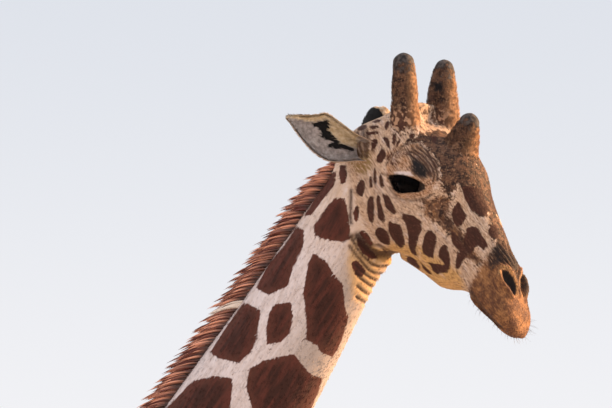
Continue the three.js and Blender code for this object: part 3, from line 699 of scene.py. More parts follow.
# Patches of the neck and the lower cheek, as outlines in steps of the frame.
PATCHES = {
    "mane strip": [[337, 171], [335, 184], [324, 199], [311, 215], [304, 216], [318, 194], [331, 172]],
    "behind ear": [[340, 165], [346, 165], [347.5, 174], [346, 183], [341, 184], [338.5, 175]],
    "upper neck": [
        [335, 198], [345, 198], [348, 212], [351, 239], [344, 242], [335, 241], [325, 239], [315, 236],
        [314, 226], [321, 215], [329, 204],
    ],
    "long diagonal": [
        [297, 226], [304.5, 231], [303, 247], [293, 268], [288, 286], [268, 295], [256, 288], [270, 262],
        [283, 247],
    ],
    "throat": [
        [313, 253], [325.5, 260], [334, 274], [343, 285.5], [345, 308], [349, 318], [340, 345], [332.5, 357],
        [320, 352], [317, 345], [306, 340], [306.5, 322], [303.5, 293], [307.5, 264],
    ],
    "mane side": [
        [244, 302], [260.5, 310], [259, 321.5], [257, 339], [252, 350.5], [238.5, 363], [218, 358],
        [210, 352], [228, 324],
    ],
    "middle": [
        [273, 304.5], [291, 302], [293, 316], [290, 333], [282.5, 341], [267, 345], [266, 331], [269, 314],
    ],
    "low left": [
        [214, 376], [233, 378], [230, 408], [222, 440], [150, 470], [140, 430], [166, 408], [193, 381],
    ],
    "low middle": [
        [294, 354], [300, 362], [311, 374.5], [323, 378], [319, 391], [311, 408], [296, 440], [258, 450],
        [244, 430], [252, 408], [246, 387], [250, 368], [265, 360],
    ],
    "jaw corner": [[351, 262], [357, 260], [366, 271], [361, 277], [355, 275]],
    "under jaw": [[357, 236], [362, 240], [371, 250], [379, 258], [372, 260], [362, 253], [357, 245]],
}

# Spots of the head, as outlines in steps of the frame.
SPOTS = [
    # behind the eye
    [[361, 179.5], [364.5, 180.5], [365.5, 185], [364.5, 192], [362.5, 197], [359, 196], [356, 191.5],
     [357, 185]],
    [[374.5, 167], [376, 169], [377, 183], [376, 186.5], [373.5, 182], [373.5, 172.5]],
    [[370, 175.5], [371.5, 176], [373, 185], [372.5, 188.5], [370, 187.5], [369, 180.5]],
    [[380.5, 172.5], [382, 176], [383.5, 182], [384.5, 186], [383, 188], [380.5, 186.5], [379, 179.5]],
    [[392, 151.5], [392.5, 153.5], [389, 158], [386.5, 161], [385.5, 160], [388.5, 156]],
    [[390.5, 161], [393, 162], [394, 165], [392, 165.5], [390.5, 163.5]],
    [[382, 148], [385, 151], [386.5, 154.5], [385, 158.5], [381.5, 163], [378, 163], [376.5, 160.5],
     [377, 156]],
    [[373.5, 139], [377, 139], [378.5, 144], [375, 148], [374.5, 151.5], [370.5, 151.5], [371.5, 147],
     [371, 141]],
    [[382.5, 136.5], [388.5, 138], [390, 143], [390, 149], [388, 148], [385.5, 142.5], [383.5, 140.5]],
    [[395.5, 132.5], [397, 137], [396, 141], [394, 146], [392.5, 142.5], [392.5, 136]],
    [[400, 138.5], [401, 141], [398, 146], [397, 148.5], [396, 147.5], [396.5, 142.5]],
    [[392.5, 120], [396, 120], [397, 126.5], [394, 127.5], [392.5, 124]],
    # cheek
    [[370, 196], [373.5, 196.5], [374.5, 204], [374.5, 213], [374, 221], [372, 223.5], [369, 221],
     [367, 210.5], [367.5, 201]],
    [[378.5, 194], [380.5, 197], [381, 202.5], [383.5, 210.5], [385.5, 217.5], [385, 221.5], [383, 222.5],
     [380, 220], [378, 218], [377.5, 209.5], [376.5, 202.5], [376.5, 197]],
    [[381.5, 192.5], [385, 195], [388.5, 195.5], [391, 200.5], [393.5, 204.5], [396, 210.5], [396, 214],
     [394, 214.5], [390.5, 212], [385.5, 207.5], [384.5, 203], [383, 197.5]],
    [[357, 205], [359.5, 208], [359, 218], [356.5, 222], [353.5, 219.5], [353.5, 214], [354.5, 208]],
    [[358.5, 231.5], [364, 230.5], [367, 232], [370, 237], [373.5, 243.5], [372.5, 247], [370, 246],
     [364.5, 240.5], [360.5, 235.5]],
    [[380.5, 227], [383.5, 228.5], [387.5, 231.5], [390, 237.5], [390.5, 244], [389, 245.5], [385, 244.5],
     [380, 242], [375, 234], [375, 231.5], [377, 228]],
    [[390, 219.5], [392.5, 223], [400.5, 224.5], [402.5, 229.5], [404.5, 238.5], [405.5, 244], [403, 247.5],
     [400.5, 248], [396, 244], [392, 238.5], [388.5, 231.5], [388.5, 223.5]],
    [[403, 213.5], [407.5, 214.5], [413.5, 215.5], [421.5, 221.5], [422, 230], [419.5, 235.5], [416, 247.5],
     [416.5, 253], [418, 256.5], [415, 255.5], [411, 252.5], [408.5, 246], [408, 233.5], [405.5, 223.5],
     [402, 218]],
    [[428.5, 230.5], [432, 230.5], [436, 235], [437, 242], [434.5, 249.5], [433.5, 258], [429, 257.5],
     [423, 253], [422, 247.5], [423.5, 239], [425.5, 233.5]],
    [[444.5, 244], [447.5, 246], [449.5, 254], [450.5, 262], [450.5, 270], [446, 268], [443, 261.5],
     [438.5, 256.5], [439, 251], [440.5, 247.5]],
    [[458, 201.5], [461, 204.5], [463.5, 210.5], [467, 216.5], [461, 226.5], [458, 227.5], [453.5, 222],
     [451.5, 214.5], [453.5, 207.5]],
    [[458, 251.5], [465, 255.5], [464.5, 260], [460, 267.5], [458, 270], [455.5, 267.5], [456, 260]],
    # jaw
    [[427, 261.5], [433.5, 263.5], [439.5, 264], [445.5, 266], [448.5, 270.5], [447.5, 273.5], [443, 273],
     [437.5, 274.5], [434, 272], [430.5, 266]],
    [[407.5, 256], [413, 257.5], [417, 261], [420.5, 268], [420, 270], [414.5, 266.5], [409, 263],
     [406.5, 259.5]],
    [[419.5, 261], [423, 264.5], [426.5, 268], [432, 273], [431.5, 275.5], [427, 272], [423, 268]],
    [[382, 248], [389, 252], [388.5, 253], [385.5, 252.5], [382, 249.5]],
    # nose
    [[451.5, 229.5], [458, 236], [462, 243], [466.5, 251.5], [468, 258], [465, 258.5], [460, 251.5],
     [453.5, 245], [451.5, 239]],
    [[466.5, 228], [472.5, 226.5], [477, 227.5], [479.5, 229.5], [481.5, 234.5], [486.5, 242], [488.5, 246.5],
     [483, 251.5], [482, 248.5], [479, 246.5], [474.5, 247.5], [474, 252.5], [470.5, 253.5], [467.5, 252.5],
     [464, 245], [463.5, 239], [466, 233.5]],
    [[490.5, 226], [496, 225], [498, 230.5], [499, 237], [494.5, 239], [489.5, 236], [488, 230.5]],
    [[461, 186.5], [471.5, 186.5], [482, 189.5], [484, 196], [486.5, 204], [489.5, 208.5], [486.5, 214.5],
     [482, 217], [477, 213.5], [471.5, 211.5], [467.5, 204], [464, 196]],
    # crown
    [[399, 119.5], [404, 119], [405.5, 123], [405, 130], [400, 131.5], [398.5, 126]],
    [[432, 136], [436, 136], [437, 140], [436, 144], [433, 143], [431, 139]],
    [[409, 135], [414, 133], [416, 136], [412, 139], [409, 138]],
    [[444, 113], [448, 110], [452, 112], [448, 116]],
    [[434, 113], [439, 111], [441, 114], [436, 117]],
    # poll
    [[372, 121.5], [377, 119.5], [382.5, 119.5], [381, 122], [375, 123.5]],
    [[356.5, 129.5], [361, 125.5], [366, 124.5], [367.5, 128], [364, 130.5], [359, 131]],
    [[369, 127], [374, 125.5], [379.5, 125.5], [379, 128], [372, 129.5]],
    [[384, 127], [387, 121.5], [390, 121], [389.5, 126], [386, 130.5]],
    [[365, 132.5], [378, 131], [379, 134], [368, 135.5]],
]

# The brown mask of the forehead and nose bridge, and the flecked hair round the horns.
MASK = [
    [402, 144], [410, 139], [424, 132], [440, 129], [456, 121], [463, 106], [490, 100], [496, 140],
    [500, 170], [512, 200], [522, 240], [528, 262], [518, 268], [511, 266], [505, 256], [498, 247],
    [492, 240], [490, 226], [489, 214], [480, 218], [470, 206], [464, 194], [457, 184], [455, 192],
    [448, 197], [442, 190], [439, 178], [440, 168], [435, 157], [428, 148], [419, 142], [408, 142],
]
CREST = [[388, 134], [388, 96], [430, 84], [462, 96], [460, 119], [430, 128], [412, 138]]
# The smoky patch below the eye, and the creamy ground of the jaw and the throat, partly the hair's own cream
# and partly painted warm bounce light.
SMOKE = [
    [421, 197], [432, 196], [446, 192], [456, 197], [453, 206], [450, 214], [462, 228], [474, 244],
    [486, 262], [478, 268], [466, 262], [455, 250], [447, 236], [437, 226], [426, 220], [421, 213],
]
CREAM_AND_BOUNCE_JAW = [
    [366, 240], [380, 246], [392, 240], [420, 244], [440, 256], [462, 270], [470, 296], [440, 294],
    [418, 286], [400, 272], [385, 266], [372, 262],
]
CREAM_AND_BOUNCE_THROAT = [[350, 232], [366, 246], [384, 262], [378, 280], [364, 304], [354, 300], [347, 262]]

# Furrows (-) and ridges (+) of the face and throat: height and half width in millimetres, and their courses
# in steps of the frame.
COURSES = {
    "folds round the eye": (-4.2, 2.7, [
        [[409, 151], [413, 152], [418, 155], [421.5, 158.5], [424.5, 161.5], [427.5, 165], [430.5, 171],
         [431, 177]],
        [[412, 148], [416.5, 151], [421.5, 154], [425, 157.5], [429.5, 163], [433, 169], [434.5, 175],
         [433, 181]],
        [[415.5, 145], [421, 149.5], [425, 152.5], [429.5, 157], [433, 162], [436, 168], [437.5, 174],
         [437, 180]],
        [[420, 144], [426, 149], [430, 155.5], [435.5, 160], [439, 166]],
        [[409, 154], [413, 157], [418, 160], [424, 164.5], [427.5, 169.5], [429.5, 175]],
        [[400, 147], [406.5, 143.5], [413.5, 141.5], [420, 141]],
    ]),
    "lid creases": (-2.2, 3.4, [
        [[385.5, 165], [389, 159.5], [393.5, 153.5], [399.5, 150], [406.5, 149.5], [410, 153]],
        [[389, 187.5], [393, 193], [398, 198.5], [410, 201], [424, 198.5], [432.5, 194.5]],
        [[384, 174], [388, 176], [392, 175.5]],
    ]),
    "ear folds": (-4.0, 4.0, [
        [[353.5, 134], [354.5, 142], [356, 150], [358, 156]],
        [[357, 132], [358.5, 141], [360, 149], [361, 157]],
        [[362.5, 131], [363.5, 140], [364, 148], [364, 156]],
        [[367, 131], [367.5, 140], [367.5, 149], [366.5, 157]],
    ]),
    "throat rings": (-4.0, 4.2, [
        [[350.5, 190], [350.5, 204], [350, 217], [351, 223]],
        [[351, 235], [354, 242], [358, 249], [363, 255.5], [368, 260], [373, 264.5], [379.5, 267],
         [387, 266.5]],
        [[350, 246], [354, 252], [360.5, 259.5], [365.5, 266], [370, 270.5], [375, 273.5], [384, 275]],
        [[356, 264], [359.5, 268], [364.5, 273], [370, 277.5], [379, 282]],
        [[357, 272], [361, 278.5], [368, 284], [376, 289]],
        [[358, 286], [363, 291], [371, 296]],
        [[357, 297], [361, 300], [367, 303.5]],
    ]),
    "jaw crease": (-15.0, 9.0, [
        [[357.5, 236], [363, 243.5], [369.5, 250.5], [379.5, 256], [389, 257], [396, 257.5]],
    ]),
    "cheek folds": (-3.0, 4.5, [
        [[373.5, 245.5], [379.5, 246], [385, 249.5], [390.5, 253], [397.5, 256]],
        [[440, 217], [450.5, 225], [458, 232.5], [462, 239], [466.5, 250], [472, 257], [480, 264]],
    ]),
    "nose wrinkles": (-4.0, 2.8, [
        [[502, 242.5], [507, 249], [512, 256.5], [517, 265], [521.5, 274], [524.5, 283]],
        [[498.5, 244.5], [503.5, 251], [509, 258.5], [514.5, 267], [519.5, 276.5], [522.5, 287]],
        [[495.5, 248], [500.5, 254], [506.5, 261], [512.5, 268.5], [517, 278], [520, 288]],
        [[494, 253], [499, 258.5], [504, 264]],
    ]),
    "lips": (-3.4, 4.0, [[[471, 292], [478, 302.5], [486, 313.5], [493, 321.5], [501, 327.5]]]),
    "nostril rim": (4.0, 4.0, [
        [[493.5, 269.5], [499, 265.5], [505, 265.5], [511.5, 269.5], [516, 277], [519, 285], [519, 295]],
        [[499.5, 272], [501, 279], [505, 285.5], [510, 292], [513, 298]],
    ]),
}

# The opening of the nostril, its pale rim and the black skin over it.
NOSTRIL_SLIT = [
    [501.5, 269.5], [507.5, 270.5], [513.5, 278], [516.5, 286.5], [515.5, 295.5], [513.5, 294.5],
    [509.5, 287.5], [504, 281], [502, 274.5],
]
NOSTRIL_RIM = [
    [497, 267], [503, 264], [510, 266], [515, 273], [519, 284], [519, 297], [515, 298], [516, 290],
    [512, 279], [507, 271.5], [502, 270], [502, 276], [498, 276],
]
NOSE_BLACK = [
    [489.5, 254], [494, 247], [499, 243], [505, 250], [511, 257.5], [516, 264], [520, 273], [524, 284],
    [525, 294], [520, 295], [519, 283], [515, 272], [509, 264.5], [502, 262.5], [495.5, 266], [491.5, 272],
    [488.5, 264],
]
# Painted highlight on the wet edge of the lid, the upper lid's bulge, the hollow before the eye and the bare
# skin round it.
LID_PAINTED_HIGHLIGHT = [[394, 172], [402, 171.5], [410, 172], [413, 175.5], [404, 175.5], [395, 175]]
LID_BULGE = [[388, 166], [394, 156], [401, 152], [409, 153], [411, 162], [414, 172], [406, 174], [395, 173]]
# the hollow is sunk by the relief and also painted dark as shade
LID_HOLLOW = [[411, 157], [418, 160], [425, 165], [428, 171], [427, 178], [420, 178], [414, 175], [411, 168]]
EYE_BARE = [
    [384, 150], [398, 142], [418, 141], [432, 150], [441, 164], [440, 182], [430, 196], [410, 202],
    [394, 198], [384, 182],
]
# Olive hair under the ear, and the bare scar on the far horn.
OLIVE = [[349, 160], [352, 152], [371, 150], [373, 160], [371, 170], [366, 175], [360, 175], [354, 170]]
HORN_SCAR = [[434.5, 84], [439, 82.5], [443, 86], [442.5, 91], [439, 93], [435, 90.5]]

# Relief of the nostril and the lids, in millimetres.
NOSTRIL_DEPTH = 15.0
LID_RISE = 7.0
HOLLOW_DEPTH = 6.0
DEEPEST_SHADE = 4.2  # depth of the furrows that are darkest


def course_reach(at, course):
    """Distance to an open course of straight stretches, in steps of the frame."""
    best = np.full(len(at), FAR)
    points = np.array(course, float)
    for a, b in zip(points, points[1:]):
        share = np.clip((at - a) @ (b - a) / ((b - a) @ (b - a)), 0, 1)
        best = np.minimum(best, np.linalg.norm(at - a - share[:, None] * (b - a), axis=1))
    return best


def outline_depth(at, outline):
    """Signed distance inside a closed outline: to its nearest edge, and positive where an odd number of edges
    crosses the ray from the point to the right."""
    closed = np.array([*outline, outline[0]], float)
    odd = np.zeros(len(at), bool)
    for a, b in zip(closed, closed[1:]):
        spans = (a[1] > at[:, 1]) != (b[1] > at[:, 1])
        rise = np.where(b[1] == a[1], 1, b[1] - a[1])
        odd ^= spans & (at[:, 0] < (b[0] - a[0]) * (at[:, 1] - a[1]) / rise + a[0])
    return np.where(odd, 1, -1) * course_reach(at, closed)


def placed_marks(at):
    """Depth inside the nearest placed patch or spot, in millimetres: negative on the pale ground between."""
    depth = np.full(len(at), -40.0)
    for outline in [*PATCHES.values(), *SPOTS]:
        depth = np.maximum(depth, outline_depth(at, outline) * VIEW_STEP)
    return depth


WEAVE_SIZE = 205.0  # width of a patch on the trunk
NECK_SIZE = ([0, 700, 1700], [120, 150, WEAVE_SIZE])
LEG_SIZE = ([300, 900, 1400, 2000], [46, 72, 120, WEAVE_SIZE])


def gathered(t, at, size):
    """The integral of 1 / size from t to the last station."""
    steps = np.linspace(at[0] - 800, at[-1], 600)
    density = 1 / np.interp(steps, at, size)
    total = np.concatenate([[0], np.cumsum((density[1:] + density[:-1]) / 2 * np.diff(steps))])
    return total[-1] - np.interp(t, steps, total)


def weave(p, weights):
    """Coordinates that count patches: the trunk's are position over patch width, and along the neck and the
    legs they are drawn together about the limb's axis as patches get smaller, without a break at the
    trunk."""
    plain = p / WEAVE_SIZE
    t, y, z = in_neck(p).T
    far_end = NECK_SIZE[0][-1]
    size = np.interp(t, *NECK_SIZE)
    steps = gathered(np.minimum(t, far_end), *NECK_SIZE)
    beyond = np.maximum(t - far_end, 0) / WEAVE_SIZE
    axis_end = from_neck(np.array([far_end]), np.zeros(1), np.zeros(1))[0] / WEAVE_SIZE
    neck = axis_end + np.outer(beyond - steps, NECK_DOWN)
    neck += np.outer(y / size, [0, 1, 0]) + np.outer(z / size, NECK_BACK)
    fields = np.array([leg_field(p, name) for name in LEGS])
    legs = plain.copy()
    for k, (stack, _, side) in enumerate(leg_stacks.values()):
        mine = (np.argmin(fields, axis=0) == k) & (p[:, 2] < LEG_SIZE[0][-1])
        q = p[mine]
        top = LEG_SIZE[0][-1]
        size = np.interp(q[:, 2], *LEG_SIZE)[:, None]
        axis = np.stack([stack["fore"](q[:, 2]), side * stack["side"](q[:, 2])], axis=1)
        level = top / WEAVE_SIZE - gathered(q[:, 2], *LEG_SIZE)
        legs[mine] = np.column_stack([axis / WEAVE_SIZE + (q[:, :2] - axis) / size, level])
    w = weights[:, :, None]
    return (w[0] + w[1]) * neck + (w[2] + w[4]) * plain + w[3] * legs


LIE_HEAD = from_head([[-1, 0, -0.15]])[0] - HEAD_PIVOT
LIE_TRUNK = np.array([-0.85, 0, -0.5])
LIE_DOWN = np.array([0, 0, -1.0])
TRUNK_CROSS = np.array([0.5, 0, -0.85])  # square to the trunk's lie
GRAIN_STRETCH = 7  # how many times slower the grain runs along the hair than across it


def lie(normal, weights):
    """The way the hair points along the skin: back on the head, down the neck, back and down the trunk, and
    down the legs and the tail."""
    way = np.einsum("kn,kc->nc", weights, np.array([LIE_HEAD, NECK_DOWN, LIE_TRUNK, LIE_DOWN, LIE_DOWN]))
    way -= normal * np.sum(way * normal, axis=1, keepdims=True)
    return unit(way)


def grain(p, weights):
    """Coordinates in millimetres that run slower along the hair than across it, in each region's own
    frame."""
    q, n = in_head(p), in_neck(p)
    trunk = np.stack([p @ unit(LIE_TRUNK), p[:, 1], p @ unit(TRUNK_CROSS)], axis=1)
    down = p[:, [2, 0, 1]]
    frames = np.array([q, n, trunk, down, down])
    frames[:, :, 0] /= GRAIN_STRETCH
    return frames[np.argmax(weights, axis=0), np.arange(len(p))]


# ---- the skin ----

SKIN_NODES = ["torso", "neck", "head", "tail", *LEGS]
# Lengths of the skin's cells at distances from the head's middle.
SKIN_EDGES = ([0, 380, 900, 1800, 3000], [4.9, 4.9, 7.6, 17, 22])
SKIN_BOX = (np.array([-1180.0, -430.0, 120.0]), np.array([1980.0, 430.0, 4760.0]))
THIN_FROM = 1350.0  # beyond this from the head the skin's mesh is thinned
THIN_SHARE = 0.545
EYE_FOLDS = [166, 93, 104]  # middle of the lids and the folds round them


def relief(at):
    """Fine relief of the face and throat, in millimetres outwards, and each point's shade as a furrow: a
    course adds its height times a bell across it, its shade follows the bell and its depth, and the nostril
    and the lids are outlines raised or sunk with soft edges."""
    rise, furrow = np.zeros(len(at)), np.zeros(len(at))
    for height, width, courses in COURSES.values():
        for course in courses:
            bell = np.exp(-((course_reach(at, course) * VIEW_STEP / width) ** 2))
            rise += height * bell
            furrow = np.maximum(furrow, np.minimum(1.3 * bell, 1) * np.clip(-height / DEEPEST_SHADE, 0, 1))
    rise -= NOSTRIL_DEPTH * smooth_step(-1.5, 6, outline_depth(at, NOSTRIL_SLIT) * VIEW_STEP)
    rise += LID_RISE * smooth_step(-8, 14, outline_depth(at, LID_BULGE) * VIEW_STEP)
    rise -= HOLLOW_DEPTH * smooth_step(-5, 8, outline_depth(at, LID_HOLLOW) * VIEW_STEP)
    return rise, furrow


def vertex_vectors(mesh, name):
    """The places ("co") or the normals of a mesh's vertices."""
    values = np.empty(3 * len(mesh.vertices), np.float32)
    mesh.vertices.foreach_get(name, values)
    return values.reshape(-1, 3).astype(float)


def finer(mesh, chosen):
    """Splits the faces round the chosen vertices in four."""
    work = bmesh.new()
    work.from_mesh(mesh)
    work.verts.ensure_lookup_table()
    edges = {edge for i in np.nonzero(chosen)[0] for edge in work.verts[i].link_edges}
    bmesh.ops.subdivide_edges(work, edges=list(edges), cuts=1, use_grid_fill=True)
    bmesh.ops.triangulate(work, faces=[face for face in work.faces if len(face.verts) > 4])
    work.to_mesh(mesh)
    work.free()


def fine_places(q):
    """Where the face has lids, folds, nostrils and lips that need a finer mesh, in the head's frame."""
    left = np.column_stack([q[:, 0], np.abs(q[:, 1]), q[:, 2]])
    eye = np.linalg.norm(left - EYE_FOLDS, axis=1) < 88
    nose = np.linalg.norm(left - NOSTRIL, axis=1) < 66
    lips = (off_mouth(q) < 9) & (q[:, 0] > 375)
    return eye | nose | lips


def relieved(points):
    """Points of the skin moved out along its normals by the relief, and their shade as furrows."""
    weights = regions(points)
    rise, furrow = relief(in_view(near_side(points, weights)))
    here = smooth_step(0.5, 0.9, weights[0] + weights[1])
    q = in_head(points)
    opening = np.minimum(slit_field(eye_axes(q, 1)), slit_field(eye_axes(q, -1)))
    here *= smooth_step(1.0, 7.0, opening)
    out = unit(gradient(flesh, points))
    return points + out * (rise * here)[:, None], furrow * here


def make_skin():
    """The skin, its points in millimetres and their shade: the flesh's zero level, thinned away from the
    head, split finer round the eyes, nostrils and lips, settled back on the level and moved out by the
    relief."""
    warp = Warp(HEAD_MIDDLE, *SKIN_EDGES)
    points, quads = level_surface(flesh, warp, *SKIN_BOX)
    made = piece("skin", points / 1000, quads, SKIN_NODES)
    away = np.linalg.norm(points - HEAD_MIDDLE, axis=1)
    body = made.vertex_groups.new(name="body")
    body.add(np.nonzero(away > THIN_FROM)[0].tolist(), 1.0, "REPLACE")
    thin = made.modifiers.new("thin", "DECIMATE")
    thin.ratio = THIN_SHARE
    thin.vertex_group = body.name
    mesh = bpy.data.meshes.new_from_object(made.evaluated_get(bpy.context.evaluated_depsgraph_get()))
    made.modifiers.clear()
    made.vertex_groups.clear()
    made.data = mesh
    finer(mesh, fine_places(in_head(vertex_vectors(mesh, "co") * 1000)))
    points, furrow = relieved(settle(flesh, vertex_vectors(mesh, "co") * 1000))
    mesh.vertices.foreach_set("co", to_row(points).astype(np.float32).ravel())
    mesh.polygons.foreach_set("use_smooth", np.ones(len(mesh.polygons), bool))
    mesh.update()
    return made, points, furrow


def inside(at, outline, soft):
    """1 inside an outline and 0 outside, eased over `soft` steps of the frame either way."""
    return smooth_step(-soft, soft, outline_depth(at, outline))


def on_head(weights):
    """1 on the head and 0 off it, eased between."""
    return smooth_step(0.3, 0.7, weights[0])


def tones(p, at, weights):
    """Shares of the head's own tones: its brown mask, its tan hair, most of it on the muzzle, and bare
    skin."""
    q = in_head(p)
    left = np.column_stack([q[:, 0], np.abs(q[:, 1]), q[:, 2]])
    smoke = inside(at, SMOKE, 8)
    mask = np.maximum.reduce([inside(at, MASK, 5), 0.47 * inside(at, CREST, 4), 0.6 * smoke])
    muzzle = smooth_step(385, 485, q[:, 0] + 0.25 * q[:, 2])
    tan = np.maximum.reduce([np.full(len(p), 0.5), 0.64 * inside(at, EYE_BARE, 4), 0.78 * smoke, muzzle])
    # less tan on the lid's wet edge leaves a painted highlight there
    tan *= 1 - np.maximum(0.35 * inside(at, NOSTRIL_RIM, 1.2), 0.8 * inside(at, LID_PAINTED_HIGHLIGHT, 1.5))
    bare = smooth_step(4.5, 2.0, slit_field(eye_axes(left, 1)))
    bare = np.maximum(bare, inside(at, NOSTRIL_SLIT, 0.8))
    return np.stack([mask, tan, bare], axis=1) * on_head(weights)[:, None]


def shades(p, at, furrow, weights):
    """Shares of the olive hair under the ear, of the black skin of the nose and the painted shade in the
    hollow before the eye, and of the furrows' painted shade."""
    head = on_head(weights)
    nose = 0.8 * inside(at, NOSE_BLACK, 2) * (1 - inside(at, NOSTRIL_RIM, 1.2))
    q = in_head(p)
    left_flare = smooth_step(440, 458, q[:, 0]) * smooth_step(28, 38, q[:, 1]) * smooth_step(84, 94, q[:, 2])
    # black skin of the nose, and painted shade in the hollow before the eye
    dark = np.maximum.reduce([nose, inside(at, LID_HOLLOW, 3), 0.75 * left_flare])
    return np.stack([inside(at, OLIVE, 2.5) * head, dark * head, furrow], axis=1)


def creams_and_bounce(p, at, weights):
    """Share of warm cream in the pale ground: some all over the head, fading down the neck, and more along
    the jaw, the throat and round the nostril; along the jaw and the throat it is partly painted warm bounce
    light."""
    head = on_head(weights)
    near_head = np.maximum(head, 0.8 * smooth_step(330, 40, in_neck(p)[:, 0]))
    # no cream on the lid's wet edge, to keep its painted highlight pale
    least = 0.5 * near_head * (1 - inside(at, LID_PAINTED_HIGHLIGHT, 1.5))
    throat = 0.75 * inside(at, CREAM_AND_BOUNCE_THROAT, 6)
    return np.maximum.reduce([least, throat, inside(at, CREAM_AND_BOUNCE_JAW, 7), inside(at, NOSTRIL_RIM, 1.2) * head])


def painted_neck_shades(p, weights):
    """Share of painted shade down the front of the neck."""
    return smooth_step(10, -110, in_neck(p)[:, 2]) * smooth_step(0.3, 0.8, weights[1])


def marks_of(p, furrow):
    """Everything that the coat's colours need at points of the skin."""
    weights = regions(p)
    at = in_view(near_side(p, weights))
    placed = (weights[0] + weights[1]) * smooth_step(450, 425, at[:, 1]) * (in_neck(p)[:, 0] < 1000)
    return {
        "patch": placed_marks(at),
        "placed": placed,
        "weave": weave(p, weights),
        "grain": grain(p, weights),
        "tone": tones(p, at, weights),
        "shade": shades(p, at, furrow, weights),
        "front_shade": painted_neck_shades(p, weights),
        "cream": creams_and_bounce(p, at, weights) * (placed > 0),
    }


# ---- hair ----

TILE = 0.46  # length of a region's tile on the flat map; tiles start at NEAR or FAR_HALF
NEAR, FAR_HALF = 0.02, 0.52
HEAD_SPAN, NECK_SPAN, TRUNK_SPAN, LEVEL_SPAN = 705, 2200, 1975, 2500  # millimetres along a tile
LEG_STEP, LEG_TILE = 0.1, 0.09
TAIL_AT, TAIL_TILE = 0.93, 0.05
PATCH_SIZE = 0.003  # of a lock of hair on that map
ROOT_SUNK = 1.2
TUFT_NORMALS = 0.16  # how much the shading of tufts differs from the skin's


def ring_share(a, b):
    """The angle whose tangent is a / b, as a share of the way round."""
    return np.arctan2(a, b) / (2 * math.pi) + 0.5


def unwrap(p, weights):
    """A place on a flat map of the skin for each point: a tile for each region, its length one way and the
    angle about its axis the other."""
    q, n = in_head(p), in_neck(p)
    x, y, z = p.T
    middle = (torso_stack["top"](x) + torso_stack["bottom"](x)) / 2
    head_ring = ring_share(q[:, 1], q[:, 2] - head_stack["mid"](q[:, 0]))
    neck_ring = ring_share(n[:, 1] + neck_stack["side"](n[:, 0]), n[:, 2])
    leg = np.argmin([leg_field(p, name) for name in LEGS], axis=0)
    axes = np.array([[s["fore"](z) + stride, side * s["side"](z)] for s, stride, side in leg_stacks.values()])
    axis = axes[leg, :, np.arange(len(p))]
    level = FAR_HALF + TILE * z / LEVEL_SPAN
    tiles = np.array([
        [NEAR + TILE * (q[:, 0] - head_stack.start) / HEAD_SPAN, NEAR + TILE * head_ring],
        [FAR_HALF + TILE * n[:, 0] / NECK_SPAN, NEAR + TILE * neck_ring],
        [NEAR + TILE * (x - torso_stack.start) / TRUNK_SPAN, FAR_HALF + TILE * ring_share(y, z - middle)],
        [FAR_HALF + LEG_STEP * leg + LEG_TILE * ring_share(x - axis[:, 0], y - axis[:, 1]), level],
        [TAIL_AT + TAIL_TILE * ring_share(x - TAIL["x"][3], y - TAIL["y"][3]), level],
    ])
    return tiles[np.argmax(weights, axis=0), :, np.arange(len(p))]


def strands(name, paths, across, wide, thick, spots, marks=None, sides=3, replaces=(), normals=None):
    """Locks of hair: a flattened ring of `sides` points is carried along each path, wide along `across`, and
    the path's last point is the tip. Each lock carries the marks of its root, is shaded as the skin under it
    where `normals` gives that skin's normals, and keeps a patch of PATCH_SIZE about `spots` on the flat
    map."""
    n, k = paths.shape[:2]
    tangent = unit(np.gradient(paths, axis=1))
    across = np.broadcast_to(across if across.ndim == 3 else across[:, None], paths.shape)
    flat = unit(across - tangent * np.sum(across * tangent, axis=2, keepdims=True))
    normal = np.cross(tangent, flat)
    turn = 2 * math.pi * np.arange(sides) / sides - math.pi / 2
    ring = flat[:, :, None] * (np.cos(turn)[:, None] * wide[:, :, None, None] / 2)
    ring = ring + normal[:, :, None] * (-np.sin(turn)[:, None] * thick[:, :, None, None] / 2)
    body = (paths[:, :, None] + ring)[:, :-1].reshape(n, -1, 3)
    points = np.concatenate([body, paths[:, -1:]], axis=1)
    each = points.shape[1]
    faces = []
    for r in range(k - 2):
        for s in range(sides):
            a, b = r * sides + s, r * sides + (s + 1) % sides
            faces += [[a, b + sides, b], [a, a + sides, b + sides]]
    last = (k - 2) * sides
    faces += [[last + s, each - 1, last + (s + 1) % sides] for s in range(sides)]
    faces += [[0, s, s + 1] for s in range(1, sides - 1)]
    faces = (np.array(faces) + each * np.arange(n)[:, None, None]).reshape(-1, 3)
    along = np.append(np.repeat(np.arange(k - 1) / (k - 1), sides), 1.0)
    kept = {"along": np.tile(along, n), "strand": np.repeat(np.random.default_rng(n).random(n), each)}
    for mark, values in (marks or {}).items():
        kept[mark] = np.repeat(values, each, axis=0)
    made = piece(name, to_row(points.reshape(-1, 3)), faces, replaces, kept)
    round_it = np.append(np.tile(np.cos(turn), k - 1), 0)
    within_patch = np.stack([round_it, 2 * along - 1], axis=1) * PATCH_SIZE / 2
    flat_map = (spots[:, None] + within_patch[None]).reshape(-1, 2).astype(np.float32)
    layer = made.data.uv_layers.new(name="OFBake")
    layer.data.foreach_set("uv", flat_map[faces.ravel()].ravel())
    if normals is not None:
        made.data.normals_split_custom_set_from_vertices(np.repeat(normals, each, axis=0))
    return made


def scattered(mesh, points, values, count, density, seed):
    """Random places on a mesh, as many for its area as `density` asks, with its values there."""
    rng = np.random.default_rng(seed)
    mesh.calc_loop_triangles()
    corners = np.empty(3 * len(mesh.loop_triangles), np.int32)
    mesh.loop_triangles.foreach_get("vertices", corners)
    corners = corners.reshape(-1, 3)
    a, b, c = (points[corners[:, i]] for i in range(3))
    share = np.linalg.norm(np.cross(b - a, c - a), axis=1) * density[corners].mean(axis=1)
    total = np.cumsum(share)
    chosen = np.searchsorted(total, rng.random(count) * total[-1])
    u, v = rng.random((2, count))
    over = u + v > 1
    u, v = np.where(over, 1 - u, u), np.where(over, 1 - v, v)
    mix = np.stack([1 - u - v, u, v], axis=1)
    return {name: np.einsum("nk,nk...->n...", mix, value[corners[chosen]]) for name, value in values.items()}


